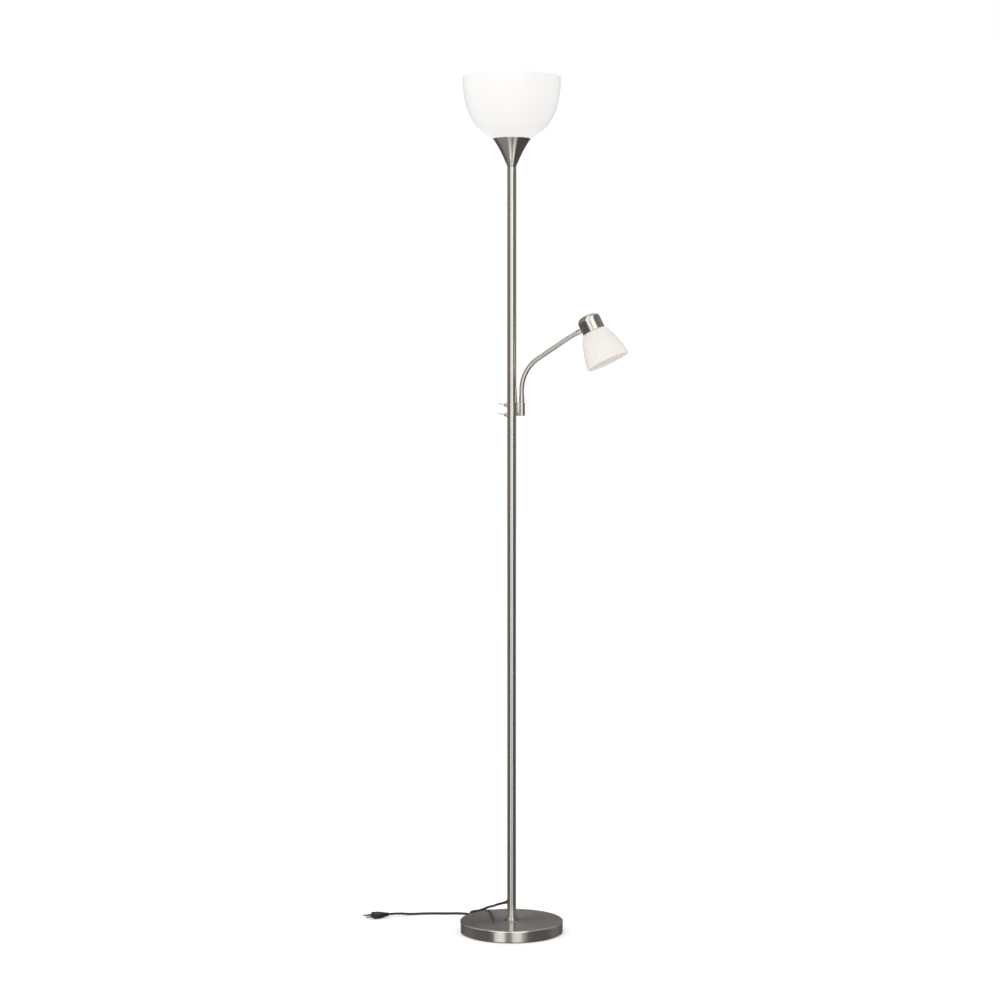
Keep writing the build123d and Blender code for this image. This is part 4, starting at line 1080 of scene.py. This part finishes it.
class LAMP_OT_cap(bpy.types.Operator):
    """Flared cap under the bowl"""

    bl_idname = "lamp.cap"
    bl_label = "Cap"

    def execute(self, context):
        steps, upright_steps, inner_start, inner_rise = 60, 14, 4, 0.4
        arc = self.arc((POLE_RADIUS, CAP_LOW), CAP_WAIST, (CAP_RADIUS, CAP_TOP), steps)
        outer = self.upright_start(arc, upright_steps)
        inner = outer[inner_start:][::-1] - (CAP_WALL, 0.0)
        inner[:, 1] = np.minimum(inner[:, 1] + inner_rise, CAP_TOP)
        outside, inside = CAP_RIM_ROUND
        rim = [(CAP_RADIUS - outside, CAP_TOP), (CAP_RADIUS - CAP_WALL + inside, CAP_TOP)]
        floor = CAP_LOW + CAP_FLOOR
        bottom = [(inner[-1, 0], floor), (NIPPLE_HOLE, floor), (NIPPLE_HOLE, CAP_LOW)]
        outline = np.concatenate([outer[:-1], rim, inner[1:], bottom])
        piece("cap_flare", "stand", [turned(outline, segments=128)], "steel", ["bowl_cap"])
        return {"FINISHED"}

    def upright_start(self, line, count):
        """Line whose first points leave the pole upright: r0 + a h^2 + b h^3 meets the rest smoothly."""
        r, h = line[:, 0] - line[0, 0], line[:, 1] - line[0, 1]
        slope = (r[count + 1] - r[count - 1]) / (h[count + 1] - h[count - 1])
        reach, rise = h[count], r[count]
        a = (3 * rise - slope * reach) / reach ** 2
        b = (slope * reach - 2 * rise) / reach ** 3
        line[:count, 0] = line[0, 0] + a * h[:count] ** 2 + b * h[:count] ** 3
        return line

    def arc(self, first, middle, last, count):
        """Points of the circle through three points, from the first to the last.

        With the first point at the origin, p and q the other two, P and Q their squared lengths and
        d = 2 (p x q), the centre is ((q_y P - p_y Q) / d, (p_x Q - q_x P) / d).
        """
        start = np.array(first)
        (px, py), (qx, qy) = middle - start, last - start
        near, far = px ** 2 + py ** 2, qx ** 2 + qy ** 2
        d = 2 * (px * qy - py * qx)
        centre = start + ((qy * near - py * far) / d, (px * far - qx * near) / d)
        spokes = np.array([first, middle, last]) - centre
        turn = np.unwrap(np.arctan2(spokes[:, 1], spokes[:, 0]))
        angle = np.linspace(turn[0], turn[2], count)
        return centre + np.hypot(*spokes[0]) * np.stack([np.cos(angle), np.sin(angle)], axis=1)


def bowl_outline(radius, depth, low):
    """Bowl's outline from low to the rim, closer set near low: r = R (1 - ((rim - z) / depth)^a)^(1 / b)."""
    rows, crowding = 46, 1.3
    z = low + (BOWL_RIM - low) * np.linspace(0, 1, rows) ** crowding
    share = (BOWL_RIM - z) / depth
    r = radius * (1 - share ** BOWL_POWERS[0]) ** (1 / BOWL_POWERS[1])
    return np.stack([r, z], axis=1)


class LAMP_OT_bowl(bpy.types.Operator):
    """Opal glass bowl with a fire-polished rim, its lampholder, ring and bulb"""

    bl_idname = "lamp.bowl"
    bl_label = "Bowl and its lamp"

    def execute(self, context):
        half = GLASS_WALL / 2
        shoulder = BOWL_RIM - half
        cone_top = BOWL_LOW + BOWL_CONE
        outer = bowl_outline(BOWL_RADIUS, BOWL_DEPTH, cone_top)
        inner = bowl_outline(BOWL_RADIUS - GLASS_WALL, BOWL_DEPTH - GLASS_WALL, cone_top + GLASS_WALL)
        outer[-1, 1] = inner[-1, 1] = shoulder
        turn = np.linspace(0, np.pi, 9)[1:-1]
        rim = np.stack([BOWL_RADIUS - half + np.cos(turn) * half, shoulder + np.sin(turn) * half], axis=1)
        outer, inner = (side[side[:, 1] < shoulder + 0.01] for side in (outer, inner))
        seat, floor_top = CAP_RADIUS - SEAT_ROOM, BOWL_LOW + GLASS_WALL
        foot_round, floor_round, floor_inset = 1.0, 1.5, 1.0
        foot = [(BOWL_HOLE, BOWL_LOW), (seat, BOWL_LOW), tuple(outer[0])]
        foot = soften(foot, foot_round, closed=False)
        floor = [tuple(inner[0]), (seat - floor_inset, floor_top), (BOWL_HOLE, floor_top)]
        floor = soften(floor, floor_round, closed=False)
        outline = np.concatenate([foot[:-1], outer, rim, inner[::-1], floor[1:]])
        piece("opal_bowl", "stand", [turned(outline, segments=192)], "glass", ["bowl_shade"])
        self.lamp()
        return {"FINISHED"}

    def lamp(self):
        """Lampholder up through the bowl's floor, with its flange below, the ring over it and the bulb."""
        low, top = heights("bowl_lampholder")
        flange, thread, bore = radius_of("bowl_lampholder"), BOWL_HOLE - THREAD_ROOM, LARGE_HOLDER_BORE
        flange_top, floor = BOWL_LOW - SEAT_ROOM, top - LARGE_SOCKET_DEPTH
        outside = [(bore, low), (flange, low), (flange, flange_top), (thread, flange_top), (thread, top)]
        socket = [(LARGE_SOCKET, top), (LARGE_SOCKET, floor), (bore, floor)]
        holder = soften(outside + socket, LARGE_HOLDER_EDGE)
        grip, levels = radius_of("bowl_shade_ring"), heights("bowl_shade_ring")
        ring = grip_ring(grip, thread + SLIDE_ROOM, *levels, UPRIGHT, 36)
        parts = bulb(*LARGE_BULB, place((0, 0, heights("bowl_bulb")[0])))
        fit_lamp("large", "bowl", "stand", turned(holder), ring, parts)


def fit_lamp(size, shade, body, holder, ring, bulb_parts):
    """Lampholder, shade ring and bulb of one of the two shades."""
    piece(f"{size}_lampholder", body, [holder], "holder", [f"{shade}_lampholder"])
    piece(f"{size}_shade_ring", body, [ring], "holder", [f"{shade}_shade_ring"])
    glass, cap = bulb_parts
    piece(f"{size}_bulb", body, [glass], "bulb", [f"{shade}_bulb"])
    piece(f"{size}_bulb_cap", body, [cap], "zinc")


def bulb(radius, length, cap_radius, cap_length, where):
    """Globe with its neck, and the screw cap whose radius waves as r - w + w cos(2 pi h / pitch)."""
    centre, neck_angle = length - radius, math.radians(50)
    angle = np.linspace(neck_angle, np.pi, 30)
    globe = np.stack([radius * np.sin(angle), centre - radius * np.cos(angle)], axis=1)
    globe[-1, 0] = 0.0
    root, sunk, widening = cap_radius - 0.9, 3.0, 0.4
    neck = [(root, cap_length - sunk), (root + widening, cap_length + sunk), tuple(globe[0])]
    neck = smooth_line(neck, 10)[:-1]
    glass = turned(np.concatenate([[(0.0, cap_length - sunk)], neck, globe]), where, 72, closed=False)
    thread_low, plain_top, wave, pitch = 5.0, 2.0, 0.35, 3.6
    h = np.linspace(thread_low, cap_length - plain_top, 60)
    thread = np.stack([cap_radius - wave + wave * np.cos(2 * np.pi * h / pitch), h], axis=1)
    contact = [(0.0, 0.0), (cap_radius * 0.35, 0.0), (cap_radius * 0.8, 3.5)]
    outline = np.concatenate([contact, thread, [(cap_radius, cap_length), (0.0, cap_length)]])
    return glass, turned(outline, where, 72, closed=False)


class LAMP_OT_bracket(bpy.types.Operator):
    """Saddle on the pole with its tapering tongue, web and upright socket"""

    bl_idname = "lamp.bracket"
    bl_label = "Bracket"

    def execute(self, context):
        inner = POLE_RADIUS + SLIDE_ROOM
        low, top = BRACKET_LOW, SOCKET_TOP
        saddle = self.sector(inner, inner + SADDLE_WALL, low, top, SADDLE_DEGREES)
        foot = top - TONGUE_OVERLAP
        tongue = self.sector(inner, inner + TONGUE_WALL, foot, TONGUE_TOP, TONGUE_DEGREES)
        reach = SOCKET_AXIS - inner - SADDLE_WALL
        middle = place((inner + SADDLE_WALL + (reach - WEB_OVERLAP) / 2, 0, (low + top) / 2))
        web = rounded_box((reach + WEB_OVERLAP, WEB_WIDTH, top - low), middle, WEB_EDGE)
        axis = place((SOCKET_AXIS, 0, 0))
        socket = tube(SOCKET_RADIUS, SOCKET_BORE, low, top, axis, edge=0.7, segments=64)
        cap = rod(SOCKET_CAP, low, low + SOCKET_CAP_HEIGHT, axis, edge=0.4)
        parts = [saddle, tongue, web, socket, cap]
        piece("neck_saddle", "stand", parts, "steel", ["neck_bracket", "socket_cap"])
        return {"FINISHED"}

    def sector(self, inner, outer, low, high, half_angles):
        """Piece of a tube about the pole whose half angle, in degrees, changes evenly from foot to top."""
        profile = soften([(outer, low), (outer, high), (inner, high), (inner, low)], SECTOR_EDGE)
        low_angle, high_angle = np.radians(half_angles)
        share = (profile[:, 1] - low) / (high - low)
        half = low_angle + (high_angle - low_angle) * share
        across = np.sin(np.linspace(-np.pi / 2, np.pi / 2, 33))
        angle = half[:, None] * across[None, :]
        r = profile[:, :1] + 0 * angle
        points = np.stack([r * np.cos(angle), r * np.sin(angle), profile[:, 1:] + 0 * angle], axis=-1)
        centres = points.mean(axis=0, keepdims=True)
        first = np.broadcast_to(centres[:, :1], (len(profile), 1, 3))
        last = np.broadcast_to(centres[:, -1:], (len(profile), 1, 3))
        return surface(np.concatenate([first, points, last], axis=1), True, False)


class LAMP_OT_neck(bpy.types.Operator):
    """Flexible ribbed neck: one piece over each hinge, a turning base and an end ferrule"""

    bl_idname = "lamp.neck"
    bl_label = "Neck"

    def execute(self, context):
        segments = sorted(name for name in frame["nodes"] if name.startswith("neck_segment_"))
        bodies = [f"neck_{i + 1}" for i in range(len(segments) - 1)] + ["head"]
        start = NECK_BASE_LENGTH
        end = NECK_WALL - NECK_END_LENGTH
        pitch = (end - start + SEGMENT_GAP) / len(segments)
        middles = [start + (i + 0.5) * pitch - SEGMENT_GAP / 2 for i in range(len(segments))]
        self.ribbed("neck_hose_start", bodies[0], start, middles[0], [segments[0]])
        for i in range(len(segments) - 1):
            replaced = [segments[i + 1]] if i < len(segments) - 2 else []
            hose = self.ribbed(f"neck_hose_{i + 1}", None, middles[i], middles[i + 1], replaced)
            hinge = start + (i + 1) * pitch - SEGMENT_GAP / 2
            bend, _ = neck_line([hinge - pitch * BEND_SHARE, hinge + pitch * BEND_SHARE])
            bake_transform(hose)
        self.ribbed("neck_hose_end", bodies[-1], middles[-1], end, [segments[-1]])
        self.foot(bodies[0])
        self.ferrule(end)
        return {"FINISHED"}

    def ribbed(self, name, body, start, end, replaced):
        return piece(name, body, [neck_stretch(start, end)], "steel", replaced, sharp=70.0)

    def foot(self, body):
        """Sleeve of the neck over its spigot and stem, which turn in the bracket's socket."""
        low = NECK_FOOT - NECK_BASE_LENGTH
        axis = place((SOCKET_AXIS, 0, 0))
        sleeve = soften([(0, low), (SLEEVE_RADIUS, low), (SLEEVE_RADIUS, NECK_FOOT - SLEEVE_SLOPE),
                         (NECK_RADIUS, NECK_FOOT), (0, NECK_FOOT)], SLEEVE_EDGE, closed=False)
        stem = rod(BASE_STEM, heights("neck_base")[0], low, axis)
        spigot = rod(SPIGOT_RADIUS, BRACKET_LOW + SPIGOT_LOW, low, axis)
        sleeve = turned(sleeve, axis, 56, closed=False)
        piece("neck_foot", body, [sleeve, spigot, stem], "steel", ["neck_base"])

    def ferrule(self, end):
        """Sleeve at the neck's end and its stem, which goes through the head's wall."""
        line, heading = neck_line(end)
        where = place(line[0], (0, 0, 1), neck_vector(np.sin(heading), np.cos(heading))[0])
        sleeve = soften([(0, FERRULE_LIP[1]), FERRULE_LIP, (SLEEVE_RADIUS, FERRULE_SLOPE),
                         (SLEEVE_RADIUS, NECK_END_LENGTH), (0, NECK_END_LENGTH)], SLEEVE_EDGE, closed=False)
        stem = rod(END_STEM, NECK_END_LENGTH - STEM_OVERLAP, NECK_END_LENGTH + END_STEM_LENGTH, where)
        piece("neck_ferrule", "head", [turned(sleeve, where, 56, closed=False), stem], "steel", ["neck_end"])


class LAMP_OT_head(bpy.types.Operator):
    """Domed cup, bell-shaped opal shade, lampholder and bulb of the reading light"""

    bl_idname = "lamp.head"
    bl_label = "Reading head"

    def execute(self, context):
        where = head_place()
        outer, inner = self.dome(0.0), self.dome(CUP_WALL)
        lip = [(CUP_RADIUS - inset, 0.0) for inset in CUP_LIP]
        outline = np.concatenate([outer, lip, inner[::-1]])
        piece("head_dome", "head", [turned(outline, where, 112, closed=False)], "steel", ["head_cup"])
        # the bell takes the darker, warmer copy of the opal glass: painted shade
        piece("opal_bell", "head", [turned(self.bell(), where, 144)], "small_shaded_glass", ["reading_shade"])
        self.lamp(where)
        return {"FINISHED"}

    def bell(self):
        """Closed outline of the shade: outer side, half-round rim and inner side one wall away."""
        shade = [(r, s + SHADE_TOP) for s, r in SHADE_OUTLINE]
        floor = SHADE_TOP + SHADE_WALL
        outer = smooth_line(shade, 44)
        inner = [(shade[0][0] - SHADE_TOP_INSET, floor)] + [(r - SHADE_WALL, s) for r, s in shade[1:]]
        inner = smooth_line(inner, 44)
        turn = np.linspace(0, np.pi, 7)
        circle = np.stack([np.cos(turn), np.sin(turn)], axis=1)
        rim = (outer[-1] + inner[-1]) / 2 + circle * SHADE_WALL / 2 - (0.0, SHADE_WALL / 2)
        low, high = [(SHADE_HOLE, SHADE_TOP)], [(SHADE_HOLE, floor)]
        return np.concatenate([low, outer[:-2], rim, inner[::-1][2:], high])

    def dome(self, wall):
        """Outline from the crown's centre down the round corner to the mouth, set in by the wall."""
        radius, length, corner = CUP_RADIUS - wall, CUP_LENGTH - wall, CUP_CORNER - wall
        angle = np.linspace(CUP_SHOULDER, 0, 18)
        bend = np.stack([radius - corner + corner * np.cos(angle),
                         -length + corner - (corner - CUP_FLATTENED) * np.sin(angle)], axis=1)
        middle = (bend[0, 0] * 0.6, -length + CROWN_DROP)
        crown = smooth_line([(0.0, -length), middle, tuple(bend[0])], 12)[:-1]
        crown[0, 0] = 0.0
        return np.concatenate([crown, bend, [(radius, -CUP_LIP_ROUND)]])

    def lamp(self, where):
        """Lampholder with its flange in the cup's mouth, the ring inside the shade and the bulb."""
        thread = SHADE_HOLE - SMALL_HOLDER_ROOM
        top = SHADE_TOP + SHADE_WALL + SMALL_HOLDER_RISE
        outside = [(0, SMALL_HOLDER_END), (thread, SMALL_HOLDER_END), (thread, FLANGE_BACK),
                   (HOLDER_FLANGE, FLANGE_BACK), (HOLDER_FLANGE, 0.0), (thread, 0.0), (thread, top)]
        socket = [(SMALL_SOCKET, top), (SMALL_SOCKET, SMALL_SOCKET_FLOOR), (0, SMALL_SOCKET_FLOOR)]
        holder = soften(outside + socket, SMALL_HOLDER_EDGE, closed=False)
        low = SHADE_TOP + SHADE_WALL + SEAT_ROOM
        ring = grip_ring(SHADE_HOLE + RING_WIDTH, thread + SLIDE_ROOM, low, low + RING_HEIGHT, where, 28)
        origin, axes = where
        parts = bulb(*SMALL_BULB, (origin + axes[:, 2] * (SMALL_SOCKET_FLOOR + SEAT_ROOM), axes))
        fit_lamp("small", "reading", "head", turned(holder, where, 72, closed=False), ring, parts)


class LAMP_OT_switches(bpy.types.Operator):
    """Two toggle switches with threaded bushings, nuts and bat levers"""

    bl_idname = "lamp.switches"
    bl_label = "Switches"

    def execute(self, context):
        nuts = []
        for level in ("upper", "lower"):
            pivot = pivot_of(f"{level}_toggle")
            x_axis, outwards = (0, 1, 0), (-1, 0, 0)
            where = place((0, 0, pivot[2]), x_axis, outwards)
            middle = place((-SWITCH_INSET, 0, pivot[2]), x_axis, outwards)
            body = rounded_box(SWITCH_BODY, middle, SWITCH_EDGE)
            bushing = turned(self.bushing(), where, 48, closed=False)
            piece(f"{level}_bushing", "stand", [bushing, body], "steel", [f"{level}_switch"])
            nuts.append(hex_nut(NUT_FLATS, NUT_BORE, *NUT_LEVELS, where))
            self.bat(level, pivot)
        piece("switch_hex_nuts", "stand", nuts, "steel", ["switch_nuts"], sharp=25.0)
        return {"FINISHED"}

    def bushing(self):
        """Threaded outline whose radius waves as R + D cos(2 pi h / P), then the hole for the lever."""
        h = np.linspace(*BUSHING, 70)
        thread = np.stack([THREAD_RADIUS + THREAD_DEPTH * np.cos(2 * np.pi * h / THREAD_PITCH), h], axis=1)
        return np.concatenate([[(0.0, BUSHING[0])], thread, BUSHING_HOLE])

    def bat(self, level, pivot):
        """Lever: a ball at the pivot, a waist and a long round-ended bat along its tilted line."""
        where = place(pivot, (0, 1, 0), (-math.cos(LEVER_TILT), 0, math.sin(LEVER_TILT)))
        angle = np.linspace(0, np.pi / 2, 10)
        end = np.stack([LEVER_TIP * np.cos(angle), LEVER_LENGTH + LEVER_TIP * np.sin(angle)], axis=1)
        end[-1, 0] = 0.0
        angle = np.linspace(np.pi, LEVER_WAIST, 12)
        ball = np.stack([LEVER_BALL * np.sin(angle), LEVER_BALL * np.cos(angle)], axis=1)
        ball[0, 0] = 0.0
        shaft = smooth_line([*LEVER_SHAFT, (LEVER_TIP, LEVER_LENGTH)], 16)[:-1]
        lever = turned(np.concatenate([ball, shaft, end]), where, 36, closed=False)
        across = place(pivot, (1, 0, 0), (0, 1, 0))
        pin = rod(LEVER_PIN, -LEVER_PIN_REACH, LEVER_PIN_REACH, across, edge=0.1, segments=16)
        piece(f"{level}_bat", f"{level}_lever", [lever, pin], "steel", [f"{level}_lever"])


def hank_points():
    """Control points of the hank: clockwise half turns joined by runs that are drawn in at the waist.

    A run's side offset is D (1 - cos(2 pi t)) / 2 at share t. A half turn has a point each 30 degrees, set
    out by the little that the smooth line passes inside them.
    """
    step = HANK_PITCH / 2
    left = HANK_CENTRE[0] - HANK_RUN / 2
    right = HANK_CENTRE[0] + HANK_RUN / 2
    outer = HANK_INNER + step * (HANK_TOP_TURNS - 1)
    y = HANK_CENTRE[1] + step / 2 + outer
    z = HANK_LOW + HANK_LAYER
    top_radii = [outer - step * i for i in range(HANK_TOP_TURNS)]
    radii = top_radii + [HANK_INNER + step * i for i in range(HANK_LOW_TURNS)]
    share = np.linspace(0, 1, 9)[1:-1]
    grow = 1 / math.cos(math.radians(13))
    points = [np.array([[left - CORD - HANK_APPROACH, y, z], [left - CORD, y, z]])]
    for i, radius in enumerate(radii):
        start, end = (left, right) if i % 2 == 0 else (right, left)
        side = -1 if i % 2 == 0 else 1
        drop = -HANK_LAYER if i == HANK_TOP_TURNS else 0.0
        run_y = y + side * HANK_DRAW * (1 - np.cos(2 * np.pi * share)) / 2
        points.append(np.stack([start + (end - start) * share, run_y, z + drop * share], axis=1))
        z += drop
        centre = y + side * radius
        last = i == len(radii) - 1
        turn = np.radians(np.arange(15, 180, 30)) if not last else np.radians([15.0, 38.0])
        first = np.pi / 2 if side < 0 else -np.pi / 2
        angle = first - turn
        points.append(np.stack([end + radius * grow * np.cos(angle), centre + radius * grow * np.sin(angle),
                                np.full_like(angle, z)], axis=1))
        if last:
            leave = first - math.pi / 4
            away = np.array([math.sin(leave), -math.cos(leave), 0.0])
            at = np.array([end + radius * math.cos(leave), centre + radius * math.sin(leave), z])
            points.append(np.stack([at + away * CORD, at + away * (CORD + HANK_DEPARTURE)]))
        y += 2 * side * radius
    return np.concatenate(points)


class LAMP_OT_cord(bpy.types.Operator):
    """Black cord with its strain relief, put-away hank, tie and plug"""

    bl_idname = "lamp.cord"
    bl_label = "Cord and plug"

    def execute(self, context):
        diameter = context.scene.lamp_cord.diameter
        route = np.concatenate([POLE_STRETCH, hank_points(), PLUG_STRETCH]) * MM
        curve = bpy.data.curves.new("supply_cord", "CURVE")
        curve.dimensions = "3D"
        spline = curve.splines.new("NURBS")
        spline.points.add(len(route) - 1)
        spline.points.foreach_set("co", np.column_stack([route, np.ones(len(route))]).ravel())
        spline.order_u = 3
        spline.use_endpoint_u = True
        spline.resolution_u = 8
        curve.bevel_depth = diameter / 2
        curve.bevel_resolution = 4
        curve.use_fill_caps = True
        curve.materials.append(MATERIALS["cord"])
        cord = bpy.data.objects.new("supply_cord", curve)
        context.scene.collection.objects.link(cord)
        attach(cord, "stand")
        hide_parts("cord_pole_stretch", "cord_hank", "cord_plug_stretch")
        with_pieces = [self.tie(), *self.plug()]
        length = self.measured(cord)
        self.relief()
        return {"FINISHED"}

    def measured(self, cord):
        """Length of the cord's own line."""
        line = cord.copy()
        curve = cord.data.copy()
        line.data = curve
        curve.bevel_depth = 0.0
        mesh = bpy.data.meshes.new_from_object(line)
        points = np.array([vertex.co for vertex in mesh.vertices])
        bpy.data.meshes.remove(mesh)
        bpy.data.objects.remove(line)
        bpy.data.curves.remove(curve)
        return float(np.linalg.norm(np.diff(points, axis=0), axis=1).sum())

    def relief(self):
        """Ribbed rubber sleeve that tapers along the cord, with a flange on the pole.

        At height h its radius is the taper's less D (1 - cos(2 pi h / P)) / 2.
        """
        first, last = np.array(RELIEF)
        length = np.linalg.norm(last - first)
        where = place(first, (0, 0, 1), last - first)
        low, high, tip = 1.4, length - 0.2, length + 0.4
        h = np.linspace(low, high, 90)
        ripple = RELIEF_RIB * (1 - np.cos(2 * np.pi * (h - low) / RELIEF_PITCH)) / 2
        wall = np.stack([RELIEF_ROOT + (RELIEF_TIP - RELIEF_ROOT) * h / length - ripple, h], axis=1)
        outline = np.concatenate([RELIEF_FLANGE, wall, [(0, tip)]])
        piece("cord_sleeve", "stand", [turned(outline, where, 48, closed=False)], "cord", ["cord_relief"])

    def tie(self):
        """Flat band round the hank's waist: a rounded rectangle's rim carried along X."""
        low, high = corners("cord_tie")
        middle, half = (low + high) / 2, (high - low) / 2
        loop = soften(np.array([(-1, -1), (1, -1), (1, 1), (-1, 1)]) * half[1:], TIE_CORNER, 7)
        inner = loop * (1 - TIE_WALL / half[1:])
        edge = loop * (1 - TIE_BEVEL)
        width = np.array([-1.0, -0.9, 0.9, 1.0]) * half[0]
        rims = [*zip(width, (edge, loop, loop, edge)), *((x, inner) for x in width[::-1])]
        band = np.stack([np.column_stack([np.full(len(loop), x), rim]) for x, rim in rims])
        return piece("hank_tie", "stand", [surface(band + middle, True, True)], "black", ["cord_tie"])

    def plug(self):
        """Flat two-pin plug: its section is a superellipse whose width follows the body's outline."""
        end = np.array(PLUG_STRETCH[-1])
        direction = end - np.array(PLUG_STRETCH[-2])
        where = place(end, np.cross((0, 0, 1.0), direction), direction)
        along, half_width, half_thick = np.array(PLUG_OUTLINE).T
        fine = np.linspace(0, along[-1], 90)
        grooved = (fine > GROOVES[0]) & (fine < GROOVES[1]) & (np.cos(2 * np.pi * fine / GROOVE_PITCH) < -0.2)
        width = np.interp(fine, along, half_width)
        thick = np.interp(fine, along, half_thick) - GROOVE_DEPTH * grooved
        section = superellipse(PLUG_POWER) * np.stack([width, thick], axis=-1)[:, None]
        level = np.broadcast_to(fine[:, None, None], (*section.shape[:2], 1))
        local = np.concatenate([section, level], axis=-1)
        local = np.concatenate([local[:1] * [0, 0, 1], local, local[-1:] * [0, 0, 1]])
        body = surface(moved(local, where), False, True)
        plug = piece("flat_plug", "stand", [body], "black", ["plug_body"], sharp=40.0)
        root, bare, tip = PIN_LEVELS
        origin, axes = where
        pins = [(origin + axes[:, 0] * side * PIN_OFFSET, axes) for side in (-1, 1)]
        sleeves = [rod(PIN_SLEEVE, root, bare, pin, edge=0.2, segments=32) for pin in pins]
        tips = [rod(PIN_RADIUS, bare, tip, pin, edge=1.4, segments=32) for pin in pins]
        return [plug, piece("pin_sleeves", "stand", sleeves, "black"),
                piece("pin_tips", "stand", tips, "pins", ["plug_pins"])]


class LAMP_OT_inner_parts(bpy.types.Operator):
    """Finish of the pieces that stay as the frame has them"""

    bl_idname = "lamp.inner_parts"
    bl_label = "Inner pieces"

    def execute(self, context):
        special = {"base_weight": "iron", "supply_wires": "black", "bowl_wires": "black"}
        for name, node in frame["nodes"].items():
            if node.hide_render:
                continue
            node.data.materials.clear()
            node.data.materials.append(MATERIALS[special.get(name, "zinc")])
        return {"FINISHED"}


class LAMP_PT_panel(bpy.types.Panel):
    """The lamp's settings and the steps that make it"""

    bl_idname = "LAMP_PT_panel"
    bl_label = "Lamp"
    bl_space_type = "VIEW_3D"
    bl_region_type = "UI"
    bl_category = "Lamp"

    def draw(self, context):
        for name in SETTINGS:
            settings = getattr(context.scene, name)
            for key in type(settings).__annotations__:
                self.layout.prop(settings, key)
        for operator in OPERATORS:
            self.layout.operator(operator.bl_idname)


OPERATORS = (
    LAMP_OT_stage,
    LAMP_OT_base,
    LAMP_OT_pole,
    LAMP_OT_cap,
    LAMP_OT_bowl,
    LAMP_OT_bracket,
    LAMP_OT_neck,
    LAMP_OT_head,
    LAMP_OT_switches,
    LAMP_OT_cord,
    LAMP_OT_inner_parts,
)


def register():
    for group in SETTINGS.values():
        bpy.utils.register_class(group)
    for operator in OPERATORS:
        bpy.utils.register_class(operator)
    bpy.utils.register_class(LAMP_PT_panel)
    for name, group in SETTINGS.items():
        setattr(bpy.types.Scene, name, bpy.props.PointerProperty(type=group))


def unregister():
    for name in SETTINGS:
        delattr(bpy.types.Scene, name)
    bpy.utils.unregister_class(LAMP_PT_panel)
    for operator in reversed(OPERATORS):
        bpy.utils.unregister_class(operator)
    for group in SETTINGS.values():
        bpy.utils.unregister_class(group)


def main():
    register()
    make_materials(bpy.context.scene)
    for operator in OPERATORS:
        group, name = operator.bl_idname.split(".")
        getattr(getattr(bpy.ops, group), name)()


if __name__ == "__main__":
    main()
